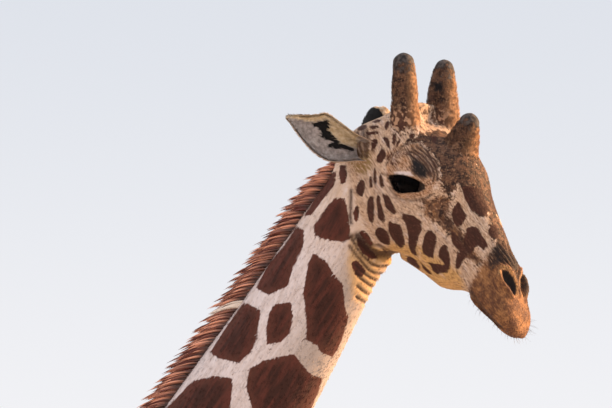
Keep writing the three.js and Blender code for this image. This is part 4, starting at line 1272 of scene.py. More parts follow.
def tufts(name, found, marks, width, lift, seed, spread=0.22):
    """Short hair at places of a skin: tufts that leave it at a low angle and bend along its lie."""
    rng = np.random.default_rng(seed)
    count = len(found["at"])
    size = (found["length"] * rng.uniform(0.7, 1.3, count))[:, None]
    normal, way = unit(found["normal"]), unit(found["lie"])
    side = np.cross(normal, way)
    way = unit(way + side * rng.normal(0, spread, (count, 1)))
    rise = size * lift * rng.uniform(0.6, 1.4, (count, 1))
    root = found["at"] - ROOT_SUNK * normal
    bend = root + way * size * 0.45 + normal * (ROOT_SUNK + 0.75 * rise)
    tip = root + way * size + normal * (ROOT_SUNK + rise)
    wide = np.array([0.8, 1, 0]) * width * rng.uniform(0.7, 1.3, (count, 1))
    shading = unit(normal + rng.normal(0, TUFT_NORMALS, (count, 3)))
    paths = np.stack([root, bend, tip], axis=1)
    across = np.cross(normal, way)
    kept = {mark: found[mark] for mark in marks}
    return strands(name, paths, across, wide, wide * 0.5, found["spot"], kept, normals=shading)


def coat_piece(name, count, where, length, width, lift, seed):
    """Short hair scattered over part of the skin, with the skin's own marks."""
    values = {
        "at": skin_points,
        "normal": skin_normals,
        "lie": skin_lie,
        "spot": skin_spots,
        "length": np.ones(len(skin_points)) * length,
        **skin_marks,
    }
    found = scattered(skin.data, skin_points, values, count, where * 1.0, seed)
    return tufts(name, found, skin_marks, width, lift, seed + 1)


def onto_nape(t, y, out):
    """Points out from the ridge of the nape."""
    return from_neck(t, y - neck_stack["side"](t), neck_stack["up"](t) - 6 + out)


MANE = {
    "from": 2.0,
    "to": 1690.0,
    "height": 54.0,
    "lean": ([0, 100, 320], [32, 46, 64]),  # down the neck
    "locks": 4600,
    "spread": 9.0,
    "pale at": 440.0,  # a band of white hair, down the neck
}


def make_mane():
    """The mane: locks rooted in a strip along the nape, which rise, bend back along the neck and taper."""
    rng = np.random.default_rng(5)
    n, k = MANE["locks"], 6
    t = MANE["from"] + (MANE["to"] - MANE["from"]) * (np.arange(n) + rng.random(n)) / n
    side = rng.uniform(-1, 1, n)
    grown = np.minimum(smooth_step(-60, 90, t), smooth_step(MANE["to"] + 60, MANE["to"] - 260, t))
    clump = 1 + 0.1 * np.sin(t / 3.5 + 2 * np.sin(t / 31.0))
    size = grown * clump * rng.uniform(0.7, 1.08, n) * (1 - 0.25 * np.abs(side))
    s = np.linspace(0, 1, k)
    back = (size * np.interp(t, *MANE["lean"]))[:, None] * (0.6 * s + 0.4 * s * s)
    out = -10 + (10 + size[:, None] * MANE["height"]) * (1.32 * s - 0.32 * s * s)
    sway = rng.normal(0, 3, n)[:, None] * s + side[:, None] * (MANE["spread"] + 3 * s)
    at = onto_nape((t[:, None] + back).ravel(), sway.ravel(), out.ravel()).reshape(n, k, 3)
    taper = through([0, 0.3, 0.75, 1], [0.9, 1, 0.6, 0.0], s)
    wide = taper * rng.uniform(4.0, 7.5, (n, 1))
    spots = np.stack([FAR_HALF + TILE * t / NECK_SPAN, 0.25 + 0.02 * side], axis=1)
    ridge = np.broadcast_to(NECK_DOWN, (n, 3))
    return strands("mane", at, ridge, wide, wide * 0.55, spots, {"down": t}, 4)


TUFT = {"top": 1640.0, "tip": 975.0, "at": (-1110.0, 14.0), "locks": 620, "spread": 34.0}


def make_tail_tuft():
    """The tuft: long locks rooted round the tail's lower end, which fall outwards and hang in soft waves."""
    rng = np.random.default_rng(11)
    n, k = TUFT["locks"], 12
    share = rng.random(n)
    top = TUFT["top"] + 20 - 330 * share
    fall = (top - TUFT["tip"] - 200 * rng.random(n) ** 1.5)[:, None]
    angle = rng.uniform(0, 2 * math.pi, n)
    out = np.stack([np.cos(angle), np.sin(angle), np.zeros(n)], axis=1)
    across = np.stack([-out[:, 1], out[:, 0], np.zeros(n)], axis=1)
    s = np.linspace(0, 1, k)
    wave = np.sin(s * rng.uniform(5, 9, (n, 1)) + rng.uniform(0, 6, (n, 1))) * 5 * s
    reach = np.interp(share, [0, 1], [14, 6])[:, None]
    spread = TUFT["spread"] * rng.uniform(0.15, 1.0, (n, 1))
    away = reach + spread * np.sin(math.pi * np.minimum(s, 0.62)) * (1 - 0.4 * s) - 4 * (s < 0.01)
    level = top[:, None] - fall * s
    middle = np.stack([np.full((n, k), TUFT["at"][0]), np.full((n, k), TUFT["at"][1]), level], axis=2)
    paths = middle + out[:, None] * away[:, :, None] + across[:, None] * wave[:, :, None]
    wide = through([0, 0.2, 0.8, 1], [0.7, 1, 0.7, 0], s) * rng.uniform(4, 8, (n, 1))
    ring = TAIL_AT + TAIL_TILE * angle / (2 * math.pi)
    spots = np.stack([ring, FAR_HALF + TILE * top / LEVEL_SPAN], axis=1)
    marks = {"down": angle * 30}
    return strands("tuft_locks", paths, across, wide, wide * 0.5, spots, marks, 4, ["tail_tuft"])


# ---- eyes, ears, horns and hooves ----


def wrapped_grid(rows, columns):
    """Quads over a grid whose columns close into a ring."""
    r, c = np.meshgrid(np.arange(rows - 1), np.arange(columns), indexing="ij")
    here, right = r * columns + c, r * columns + (c + 1) % columns
    return np.stack([here, right, right + columns, here + columns], axis=-1).reshape(-1, 4)


def outward(made):
    """Merges doubled points and turns the faces out."""
    work = bmesh.new()
    work.from_mesh(made.data)
    bmesh.ops.remove_doubles(work, verts=work.verts, dist=1e-6)
    bmesh.ops.recalc_face_normals(work, faces=work.faces)
    work.to_mesh(made.data)
    work.free()
    return made


EYE_INSET = 0.3
CORNEA_RISE = 1.6
CORNEA_EDGE = (40, 20)  # degrees from the axis where the cornea starts to rise and is full


def make_eye(name, side):
    """The eyeball: a ball about the axis out of the head, raised into a cornea near that axis."""
    rows, columns = 48, 48
    tilt = np.linspace(0, math.pi, rows)[:, None]
    turn = 2 * math.pi * np.arange(columns) / columns
    radius = EYE_RADIUS - EYE_INSET + CORNEA_RISE * smooth_step(*CORNEA_EDGE, np.degrees(tilt))
    d = np.stack([
        radius * np.sin(tilt) * np.cos(turn),
        radius * np.cos(tilt) * np.ones(columns),
        radius * np.sin(tilt) * np.sin(turn),
    ], axis=-1).reshape(-1, 3)
    points, faces = to_row(from_eye(d, side)), wrapped_grid(rows, columns)
    marks = {"gaze": np.repeat(np.degrees(tilt), columns), "across": d[:, 2]}
    return outward(piece(name.replace("eye", "eyeball"), points, faces, [name], marks))


EAR_FORM = {
    "at": [0, 0.14, 0.28, 0.45, 0.62, 0.7, 0.78, 0.86, 0.92, 1],
    "upper": [10, 12, 15, 27, 39, 30, 21.5, 15, 10, 3],
    "lower": [36, 44, 58, 68, 59, 49.5, 39, 26, 15, 3],
    "upper wall": [48, 54, 52, 44, 25, 19, 14, 9.5, 6, 2],
    "lower wall": [44, 42, 36, 28, 20, 16, 13, 9, 6, 2],
}
EAR_HALVES = ["upper", "lower", "upper wall", "lower wall"]
EAR_LENGTH = 195.0
EAR_ROOT = 30.0
EAR_THICKNESS = 4.5
EAR_CURL = (0.52, 0.95)  # shares of the length between which an ear bends towards its cup

# Marks inside the right ear, as outlines in steps of the frame. The left ear has them at the same places.
EAR_STRIPE = [
    [313, 123], [329.5, 119], [331.5, 124], [329, 130], [334, 137], [341, 144], [353.5, 149], [353, 152.5],
    [343, 149.5], [335, 150], [328, 148], [327, 145], [334, 143], [325, 140], [320.5, 138], [322, 134],
    [319, 128], [313, 126],
]
EAR_WALL = [
    [329.5, 119], [331, 110], [341, 118], [350, 124], [360, 128], [360, 150], [341, 144], [334, 137],
    [329, 130], [331.5, 124],
]
EAR_TOP = [
    [280, 117], [290, 108], [318, 108], [333, 108], [330, 118.5], [313, 121.5], [302, 118.5], [292, 119],
]


def ear_surface(name, share, bend, inset):
    """Points of an ear's leaf: share along its curling axis, bend from -1 at its lower edge to 1 at the
    upper, and inset towards its cup. The axis is the running sum of a direction that turns from the ear's
    line to its cup."""
    form = EARS[name]
    along, front, across = ear_frame(form)
    steps = np.linspace(0, 1, 200)
    turn = math.radians(form["curl"]) * smooth_step(*EAR_CURL, steps)
    way = np.outer(np.cos(turn), along) + np.outer(np.sin(turn), front)
    axis = np.cumsum(way, axis=0) * (EAR_LENGTH + EAR_ROOT) / len(steps)
    start = np.array(form["root"], float) - along * EAR_ROOT
    middle = start + np.stack([np.interp(share, steps, axis[:, c]) for c in range(3)], axis=-1)
    turn = np.interp(share, steps, turn)[..., None]
    out = np.cos(turn) * front - np.sin(turn) * along
    at, angle = EAR_FORM["at"], bend * math.pi / 2
    upper, lower, upper_wall, lower_wall = (through(at, EAR_FORM[name], share) for name in EAR_HALVES)
    reach, wall = np.where(bend > 0, upper, lower), np.where(bend > 0, upper_wall, lower_wall)
    side = (reach - inset) * np.sin(angle)
    rise = wall * (1 - np.cos(angle)) + inset * np.cos(angle)
    return middle + side[..., None] * across + rise[..., None] * out


def ear_marks(share, bend, inside_cup):
    """The ear's marks, where the right ear has them: its cup, its stripe, its tawny walls and its rim."""
    seen = in_view(from_head(ear_surface("ear_right", share, bend, np.zeros_like(share)).reshape(-1, 3)))
    cup = inside_cup.ravel()
    band = smooth_step(0.38, 0.6, share) * smooth_step(0.95, 0.7, share)
    band = band * smooth_step(0.75, 0.35, np.abs(bend))
    return {
        "cup": cup,
        "stripe": np.maximum(inside(seen, EAR_STRIPE, 1.0) * cup, band.ravel() * (1 - cup)),
        "tawny": np.maximum(inside(seen, EAR_WALL, 2.0), inside(seen, EAR_TOP, 1.5)) * cup,
        "rim": smooth_step(0.93, 0.99, np.abs(bend)).ravel(),
    }


def make_ear(name):
    """The ear: a cupped leaf, each row a half ring from edge to edge, with a back and an inner side that are
    EAR_THICKNESS apart and meet at a thin rim."""
    rows, half = 72, 40
    share = np.linspace(0, 1, rows)[:, None] * np.ones(half)
    bend = np.ones((rows, 1)) * np.linspace(-1, 1, half)
    thick = EAR_THICKNESS * (1 - 0.6 * share**2) * (1 - 0.7 * np.abs(bend) ** 4)
    back = ear_surface(name, share, bend, np.zeros_like(share))
    inner = ear_surface(name, share, bend, thick)[:, ::-1]
    points = from_head(np.concatenate([back, inner], axis=1).reshape(-1, 3))
    share = np.concatenate([share, share], axis=1)
    bend = np.concatenate([bend, bend[:, ::-1]], axis=1)
    inside_cup = np.concatenate([np.zeros((rows, half)), np.ones((rows, half))], axis=1)
    faces, marks = wrapped_grid(rows, 2 * half), ear_marks(share, bend, inside_cup)
    return outward(piece(name.replace("ear", "ear_leaf"), to_row(points), faces, [name], marks))


def make_ear_hair(name, count, seed):
    """Hair of an ear: short on its back and longer in its cup and along its rim, lying towards the tip."""
    rng = np.random.default_rng(seed)
    share, bend = rng.uniform(0.1, 0.97, count), rng.uniform(-1, 1, count)
    inside_cup = (rng.random(count) < 0.62).astype(float)
    at_rim = inside_cup * rng.random(count) > 0.75
    bend = np.where(at_rim, np.sign(bend) * rng.uniform(0.85, 0.98, count), bend)
    thick = EAR_THICKNESS * inside_cup
    at = ear_surface(name, share, bend, thick)
    way = unit(ear_surface(name, share + 0.01, bend, thick) - at)
    turn = unit(ear_surface(name, share, bend + 0.01, thick) - at)
    normal = unit(np.cross(way, turn))
    out = ear_surface(name, share, bend, thick + 3) - at
    normal *= np.sign(np.sum(normal * out, axis=1, keepdims=True)) * (2 * inside_cup[:, None] - 1)
    edge = smooth_step(0.6, 1.0, np.abs(bend))[:, None] * -np.sign(bend)[:, None]
    lie = unit(way + 0.5 * edge * turn * inside_cup[:, None])
    found = {
        "at": from_head(at),
        "normal": normal @ HEAD_AXES.T,
        "lie": lie @ HEAD_AXES.T,
        "length": np.where(inside_cup > 0, 17 - 8 * share, 8),
        "spot": np.stack([0.02 + 0.06 * share, 0.9 + 0.04 * bend], axis=1),
        **ear_marks(share, bend, inside_cup),
    }
    marks = ["cup", "stripe", "tawny", "rim"]
    return tufts(name.replace("ear", "ear_hair"), found, marks, 1.5, 0.2, seed, 0.3)


LUMP_WAVES = 7


def lumps(u, v, seed):
    """Soft bumps over two parameters in radians: a sum of waves of rising number."""
    rng = np.random.default_rng(seed)
    total = np.zeros(np.broadcast(u, v).shape)
    for k in range(1, LUMP_WAVES + 1):
        a, b, phase = rng.integers(0, k + 1), rng.uniform(0.5, 1.3) * k, rng.uniform(0, 6.3)
        total = total + np.sin(a * u + b * v + phase) / k**0.7
    return total


def horn_axis(form):
    """The way from a horn's root to its tip, and how far it is."""
    along = np.subtract(form["tip"], form["root"])
    length = np.linalg.norm(along)
    return along / length, length


def horn_surface(form, seed, height, turn):
    """Points of a horn about the line from root to tip, and the way out of it: its radius follows the form,
    swells in lumps and closes in a rounded end."""
    root, (axis, length) = np.array(form["root"], float), horn_axis(form)
    first = unit(np.cross(axis, [0.0, 1.0, 0.0]))
    second = np.cross(axis, first)
    end = form["radii"][2]
    past = np.clip((height - length) / end, 0, 1)
    radius = through([0, 0.5, 1], form["radii"], height / length) * np.sqrt(1 - past * past)
    lumpy = smooth_step(0.25, 0.55, height / length) * np.minimum(radius / end, 1) ** 0.5
    radius = radius - 1.5 + (lumps(turn, height / 22, seed) * 0.8 - 0.8) * lumpy
    out = np.cos(turn)[..., None] * first + np.sin(turn)[..., None] * second
    return root + height[..., None] * axis + radius[..., None] * out, unit(out + past[..., None] ** 2 * axis)


def horn_marks(form, height, turn, points):
    """How near the tip a point of a horn is, from 0 at its root to 1, how far it faces forward, and whether
    it is in the bare scar."""
    _, length = horn_axis(form)
    return {
        "share": height / (length + form["radii"][2]),
        "front": 0.5 - 0.5 * np.cos(turn),
        "scar": inside(in_view(points), HORN_SCAR, 1.2),
    }


def make_horn(name, form, seed):
    """A horn: rings of its surface from a tenth of its length to the middle of its rounded end."""
    _, length = horn_axis(form)
    columns = 72
    rise = np.sin(np.radians(np.linspace(0, 90, 19)[1:])) * form["radii"][2]
    height = np.concatenate([np.linspace(0.1, 1, 70) * length, length + rise])[:, None] * np.ones(columns)
    turn = 2 * math.pi * np.arange(columns) / columns * np.ones((len(height), 1))
    points, _ = horn_surface(form, seed, height, turn)
    faces = wrapped_grid(len(height), columns)
    points = from_head(points.reshape(-1, 3))
    marks = horn_marks(form, height.ravel(), turn.ravel(), points)
    return outward(piece(name.replace("ossicone", "horn"), to_row(points), faces, [name], marks))


def make_horn_hair(name, form, count, seed):
    """Short hair of a horn, which lies up its shaft and is worn away from its end."""
    rng = np.random.default_rng(seed + 40)
    axis, length = horn_axis(form)
    height, turn = rng.uniform(0.16, 1.0, count) * length, rng.uniform(0, 2 * math.pi, count)
    at, normal = horn_surface(form, seed, height, turn)
    found = {
        "at": from_head(at),
        "normal": normal @ HEAD_AXES.T,
        "lie": np.broadcast_to(HEAD_AXES @ axis, (count, 3)),
        "length": np.interp(height / length, [0.2, 0.7, 1.0], [7, 9, 4]),
        "spot": np.stack([0.1 + 0.06 * height / length, 0.9 + 0.04 * turn / 6.3], axis=1),
        **horn_marks(form, height, turn, from_head(at)),
    }
    marks = ["share", "front", "scar"]
    return tufts(name.replace("ossicone", "horn_hair"), found, marks, 1.4, 0.2, seed, 0.35)


LASHES = {"above": 150, "below": 60, "length": 30.0}


def make_lashes(name, side):
    """The eye's lashes: rooted along both edges of the opening on the lids' ball, they reach out, fall and
    curve up at their tips."""
    rng = np.random.default_rng(61)
    n = LASHES["above"] + LASHES["below"]
    above = np.arange(n) < LASHES["above"]
    across = rng.uniform(-40, 36, n)
    top, bottom = (through(EYE_SLIT["at"], EYE_SLIT[side], across) for side in ("top", "bottom"))
    edge = np.where(above, top + 1.5, bottom - 1.5)
    out = np.sqrt(np.maximum(LID_RADIUS**2 - across**2 - edge**2, 14.0**2)) - 1
    s = np.linspace(0, 1, 5)
    size = (LASHES["length"] * np.where(above, 1, 0.5) * rng.uniform(0.7, 1.1, n))[:, None]
    fall, curl = np.where(above, -0.75, -0.35)[:, None], np.where(above, 0.5, 0.1)[:, None]
    droop = fall * np.sin(s * 2.4) + curl * s * s
    d = np.stack([
        across[:, None] + size * s * (0.25 + rng.normal(0, 0.12, (n, 1))),
        out[:, None] + size * 0.72 * s * (1 - 0.35 * s),
        edge[:, None] + size * droop,
    ], axis=2)
    paths = from_eye(d.reshape(-1, 3), side)
    wide = through([0, 0.3, 1], [1.3, 1.0, 0.0], s) * np.ones((n, 1))
    spots = np.stack([0.2 + 0.001 * across, 0.9 + 0.02 * above], axis=1)
    slit_way = np.broadcast_to(HEAD_AXES @ turned("y", -EYE_TILT) @ np.array([1.0, 0, 0]), (n, 3))
    return strands(name, paths.reshape(n, 5, 3), slit_way, wide, wide, spots)


def make_whiskers(count):
    """Stiff whiskers round the lips and chin: thin hairs that stand out of the skin and bend forwards."""
    q = in_head(skin_points)
    chin = smooth_step(400, 470, q[:, 0]) * smooth_step(95, 50, q[:, 2])
    lips = 1.5 * smooth_step(560, 600, q[:, 0])
    values = {"at": skin_points, "normal": skin_normals, "spot": skin_spots}
    density = (chin + lips) * (skin_weights[0] > 0.9) * (skin_marks["tone"][:, 2] < 0.3)
    found = scattered(skin.data, skin_points, values, count, density, 71)
    rng = np.random.default_rng(72)
    s = np.linspace(0, 1, 5)[:, None]
    size = rng.uniform(10, 27, (count, 1, 1))
    normal = unit(found["normal"])[:, None]
    forward = unit(HEAD_AXES[:, 0] + rng.normal(0, 0.5, (count, 3)))[:, None]
    paths = found["at"][:, None] + size * (normal * (s - 0.35 * s * s) + forward * 0.55 * s * s)
    wide = (1 - np.linspace(0, 1, 5)) * 0.7 * np.ones((count, 1))
    return strands("whiskers", paths, np.cross(normal[:, 0], [0, 0, 1.0]), wide, wide, found["spot"])


TOE = {
    "at": [0, 12, 70, 140],
    "fore": [34, 34, 16, 0],
    "length": [128, 132, 108, 82],
    "half": [50, 52, 50, 47],
    "cleft": 4,
    "apart": 9,
    "square": 2.6,
}
TOE_TOP = 140.0
LEG_GAP = 0.3  # between the toes and the leg


def make_toe(name, leg, outer):
    """One toe: level superellipse rings from the sole up, flattened along the cleft, with faint rings of
    growth."""
    stack, stride, side = leg_stacks[leg]
    away = side if outer else -side
    rows, columns = 40, 64
    z = np.concatenate([np.zeros(7), np.linspace(0, TOE_TOP, rows - 8), [TOE_TOP]])
    shrink = np.concatenate([np.linspace(0.02, 0.97, 7), np.ones(rows - 8), [0.9]])
    turn = 2 * math.pi * np.arange(columns) / columns
    power = 2 / TOE["square"]
    y = np.sign(np.cos(turn)) * np.abs(np.cos(turn)) ** power
    x = np.sign(np.sin(turn)) * np.abs(np.sin(turn)) ** power
    growth = 1 - 0.006 * (1 + np.sin(z / 3.2))
    half = (through(TOE["at"], TOE["half"], z) * shrink * growth)[:, None]
    reach = (through(TOE["at"], TOE["length"], z) * shrink * growth)[:, None]
    middle = TOE["half"][0] - TOE["cleft"]
    outward_y = np.maximum(half * y, -middle * shrink[:, None]) + middle + TOE["apart"] / 2
    forward = np.where(x > 0, reach * x, 0.8 * reach * x) + through(TOE["at"], TOE["fore"], z)[:, None]
    foot = TOE_TOP + LEG_GAP
    fore = stack["fore"](foot) + stride * (1 - TOE_TOP / HIP_HEIGHT)
    across = side * stack["side"](foot)
    points = np.stack([fore + forward, across + away * outward_y, z[:, None] * np.ones(columns)], axis=-1)
    faces = wrapped_grid(rows, columns)
    return outward(piece(name + "_toe", to_row(points.reshape(-1, 3)), faces, [name]))
# ---- materials ----


class Value:
    """A number that a shader works out: an expression on it adds Math nodes."""

    def __init__(self, shader, socket):
        self.shader, self.socket = shader, socket

    def math(self, operation, *others):
        return self.shader.node("ShaderNodeMath", {"operation": operation}, [self, *others])

    def __add__(self, other):
        return self.math("ADD", other)

    def __sub__(self, other):
        return self.math("SUBTRACT", other)

    def __mul__(self, other):
        return self.math("MULTIPLY", other)

    def __rsub__(self, other):
        return self.shader.node("ShaderNodeMath", {"operation": "SUBTRACT"}, [other, self])

    __radd__, __rmul__ = __add__, __mul__


class Shader:
    """A material or the world, whose nodes are added by `node` and whose surface's sockets are set by
    `finish`."""

    def __init__(self, name, kind="materials", surface="Principled BSDF"):
        self.made = getattr(bpy.data, kind).new(name)
        self.made.use_nodes = True
        self.tree = self.made.node_tree
        self.surface = self.tree.nodes[surface]

    def node(self, kind, settings, inputs, output=0):
        made = self.tree.nodes.new(kind)
        for name, value in settings.items():
            setattr(made, name, value)
        named = inputs.items() if isinstance(inputs, dict) else enumerate(inputs)
        for key, value in named:
            self.put(made.inputs[key], value)
        return Value(self, made.outputs[output])

    def put(self, socket, value):
        if isinstance(value, Value):
            self.tree.links.new(value.socket, socket)
        elif value is not None:
            socket.default_value = value

    def place(self):
        return self.node("ShaderNodeTexCoord", {}, [], "Object")

    def mark(self, name, output="Fac"):
        return self.node("ShaderNodeAttribute", {"attribute_name": name}, [], output)

    def part(self, vector, axis):
        return self.node("ShaderNodeSeparateXYZ", {}, [vector], axis)

    def scaled(self, vector, factor):
        return self.node("ShaderNodeVectorMath", {"operation": "SCALE"}, {0: vector, "Scale": factor})

    def added(self, a, b):
        return self.node("ShaderNodeVectorMath", {"operation": "ADD"}, [a, b])

    def noise(self, vector, scale, detail=3.0, rough=0.5, output="Fac"):
        inputs = {"Vector": vector, "Scale": scale, "Detail": detail, "Roughness": rough}
        return self.node("ShaderNodeTexNoise", {}, inputs, output)

    def between(self, value, low, high):
        """0 below low, 1 above high, eased between."""
        inputs = {"Value": value, "From Min": low, "From Max": high}
        return self.node("ShaderNodeMapRange", {"interpolation_type": "SMOOTHSTEP"}, inputs)

    def blend(self, factor, a, b):
        """Colour a where the factor is 0 and b where it is 1."""
        made = self.tree.nodes.new("ShaderNodeMix")
        made.data_type = "RGBA"
        for socket, value in zip([made.inputs[0], made.inputs[6], made.inputs[7]], [factor, a, b]):
            self.put(socket, value)
        return Value(self, made.outputs[2])

    def bump(self, height, strength, distance):
        inputs = {"Height": height, "Strength": strength, "Distance": distance}
        return self.node("ShaderNodeBump", {}, inputs)

    def finish(self, **values):
        for name, value in values.items():
            self.put(self.surface.inputs[name.replace("_", " ").title().replace("Ior", "IOR")], value)
        return self.made


def tint(red, green, blue):
    """A colour given as it looks on a screen, from 0 to 255, as the shader's linear light."""
    levels = [v / 255 for v in (red, green, blue)]
    return (*(((v + 0.055) / 1.055) ** 2.4 if v > 0.04 else v / 12.92 for v in levels), 1)


PALE = tint(204, 189, 185)
BUFF = tint(184, 165, 157)
# painted shade for the front of the neck
PAINTED_NECK_SHADE = tint(146, 126, 110)
CHOCOLATE = tint(52, 26, 18)
UMBER = tint(84, 41, 31)
HEAD_BROWN = tint(40, 21, 12)
CHESTNUT = tint(78, 42, 31)
# warm cream, along the jaw and the throat partly painted bounce light
CREAM_AND_BOUNCE = tint(202, 156, 98)
MUZZLE_TAN = tint(152, 104, 64)
MUZZLE_BROWN = tint(84, 51, 34)
# dark bare skin, also painted shade in the hollow before the eye
DARK_SKIN_AND_SHADE = tint(22, 17, 17)
OLIVE_HAIR = tint(128, 100, 62)
# painted shade of the furrows, folds and creases
FURROW_PAINTED_SHADE = tint(52, 30, 22)
FLECK_BROWN = tint(106, 70, 52)


def mottled_brown(s):
    """Short brown hair of the mask and the horns: blots and flecks between umber and tawny."""
    place = s.place()
    blots, flecks = s.noise(place, 70, 3, 0.65), s.noise(place, 210, 2)
    colour = s.blend(s.between(blots, 0.4, 0.6), tint(44, 28, 22), tint(94, 64, 47))
    return s.blend(s.between(flecks, 0.52, 0.7) * 0.35, colour, tint(170, 128, 94))


def dark_colour(s, depth, tan, coarse, fine):
    """Brown of the patches: redder at their edges, streaked, blacker on the head and flecked where it is
    tan."""
    dark = s.blend(s.between(depth, 1.0, 30.0), CHESTNUT, CHOCOLATE)
    dark = s.blend(s.between(coarse, 0.4, 0.7) * 0.8, dark, UMBER)
    dark = s.blend(s.between(tan, 0.0, 0.4) * 0.6, dark, HEAD_BROWN)
    return s.blend(s.between(fine, 0.5, 0.75) * tan, dark, FLECK_BROWN)


def pale_colour(s, mask, tan, coarse, fine, mottle):
    """Ground between the patches: off-white to buff, with painted shade down the front of the neck, and cream
    in places, partly painted warm bounce light along the jaw and throat, with the head's tan hair and the
    flecks of its mask over it."""
    pale = s.blend(s.between(coarse * 0.6 + fine * 0.4, 0.35, 0.68), PALE, BUFF)
    # painted shade down the front of the neck
    pale = s.blend(s.mark("front_shade") * 0.75, pale, PAINTED_NECK_SHADE)
    # cream of the head, along the jaw and the throat partly painted warm bounce light
    pale = s.blend(s.mark("cream") * s.between(coarse, 0.0, 0.5), pale, CREAM_AND_BOUNCE)
    blots = s.noise(s.place(), 32, 2)
    soiled = s.between(mottle * 0.25 + fine * 0.4 + blots * 0.35, 0.36, 0.58)
    tan_hair = s.blend(soiled, MUZZLE_TAN, MUZZLE_BROWN)
    pale = s.blend(s.between(tan + (fine - 0.5) * 0.8, 0.3, 0.8), pale, tan_hair)
    flecked = mask + (mottle * 0.7 + fine * 0.3 - 0.5) * 3.2
    return s.blend(s.between(flecked, 0.35, 0.65), pale, mottled_brown(s))


def patch_depth(s, placed):
    """Depth inside a patch in millimetres: that of the placed outlines, or elsewhere the distance from the
    walls between the cells of the weave, which noise bends."""
    weave_at = s.mark("weave", "Vector")
    bent = s.added(weave_at, s.scaled(s.noise(weave_at, 2.2, 2, 0.5, "Color"), 0.16))
    cells = {"Vector": bent, "Scale": 1.0, "Randomness": 0.85}
    walls = s.node("ShaderNodeTexVoronoi", {"feature": "DISTANCE_TO_EDGE"}, cells)
    return s.mark("patch") * placed + (walls - 0.062) * WEAVE_SIZE * (1 - placed)


def coat_material():
    """The coat's colours, from marks that the skin and each tuft of hair carry alike."""
    s = Shader("short coat")
    grain_at = s.mark("grain", "Vector")
    fine, coarse = s.noise(grain_at, 0.45, 2), s.noise(grain_at, 0.09, 3)
    mottle = s.noise(s.place(), 90, 3, 0.65)
    tone, shade = s.mark("tone", "Vector"), s.mark("shade", "Vector")
    mask, tan, bare = (s.part(tone, axis) for axis in "XYZ")
    olive, black, furrow = (s.part(shade, axis) for axis in "XYZ")
    depth = patch_depth(s, s.mark("placed"))
    ragged = 1 - s.between(tan, 0.0, 0.3) * 0.7
    patch = s.between(depth + ((fine - 0.5) * 9 + (coarse - 0.5) * 5) * ragged, -1.4, 1.4)
    pale, dark = pale_colour(s, mask, tan, coarse, fine, mottle), dark_colour(s, depth, tan, coarse, fine)
    colour = s.blend(patch, pale, dark)
    colour = s.blend(olive * s.between(fine, 0.3, 0.6), colour, OLIVE_HAIR)
    # painted shade along the furrows, darkest in the deepest, such as the jaw crease
    colour = s.blend(furrow * 0.9, colour, FURROW_PAINTED_SHADE)
    # black skin of the nose, and painted shade in the hollow before the eye
    colour = s.blend(black * s.between(mottle * 0.5 + fine * 0.5, 0.2, 0.5), colour, DARK_SKIN_AND_SHADE)
    colour = s.blend(bare, colour, DARK_SKIN_AND_SHADE)
    relief = s.bump((fine + coarse) * 0.5, 0.45, 0.002)
    return s.finish(base_color=colour, roughness=0.75, specular_ior_level=0.2, normal=relief)


def hair_material(name, root, tips, pale=None):
    """Long hair: dark at the root, and to the tip streaked between two colours from clump to clump; on the
    mane the dark root is partly painted shade and the pale streaks partly painted highlights.
    """
    s = Shader(name)
    along, strand, down = s.mark("along"), s.mark("strand"), s.mark("down")
    streak = s.noise(down + strand * 4, 0.17, 3, 0.6)
    end = s.blend(s.between(streak, 0.45, 0.58), *tips)
    colour = s.blend(s.between(along + strand * 0.3 - 0.15, 0.2, 0.7), root, end)
    if pale:
        apart = down + (strand - 0.5) * 12 - MANE["pale at"]
        colour = s.blend(1 - s.between(apart * apart, 40, 130), colour, pale)
    return s.finish(base_color=colour, roughness=0.55)


def stiff_hair_material(name, colour, end):
    """Single stiff hairs, lashes or whiskers, of another colour towards the tip."""
    s = Shader(name)
    tip = s.between(s.mark("along") + s.mark("strand") * 0.3, 0.6, 1.3)
    return s.finish(base_color=s.blend(tip, colour, end), roughness=0.8, specular_ior_level=0.02)


def eye_material():
    """The wet eye: an iris of near black with faint brown fibres, darker at its rim, and a pupil that is
    longer along the lids than across them."""
    s = Shader("wet eye")
    gaze, across = s.mark("gaze"), s.mark("across")
    pupil = s.between(gaze + across * across * 0.08, 16, 24)
    fibres = s.noise(s.place(), 300, 3)
    iris = s.blend(s.between(gaze, 18, 38), tint(11, 8, 8), tint(6, 5, 6))
    iris = s.blend(s.between(fibres, 0.4, 0.7) * 0.4, iris, tint(15, 10, 9))
    colour = s.blend(pupil, tint(3, 3, 4), iris)
    return s.finish(base_color=colour, roughness=0.1, specular_ior_level=0.02)


def ear_material():
    """An ear: streaked grey hair with a black stripe and tawny walls in the cup, and tan with a black band
    behind."""
    s = Shader("ear skin")
    cup, stripe, tawny, rim = (s.mark(name) for name in ("cup", "stripe", "tawny", "rim"))
    streak = s.noise(s.place(), 110, 3, 0.6)
    back = s.blend(s.between(streak, 0.3, 0.7), tint(168, 132, 100), tint(208, 184, 156))
    grey = s.blend(s.between(streak, 0.3, 0.7), tint(176, 163, 156), tint(130, 117, 111))
    walls = s.blend(s.between(streak, 0.3, 0.7), tint(182, 154, 116), tint(218, 198, 168))
    colour = s.blend(cup, back, s.blend(tawny, grey, walls))
    ragged = s.between(stripe + (streak - 0.5) * 0.4, 0.35, 0.65)
    colour = s.blend(ragged, colour, tint(20, 17, 17))
    colour = s.blend(rim * 0.6, colour, tint(142, 106, 74))
    return s.finish(base_color=colour, roughness=0.8, specular_ior_level=0.2)


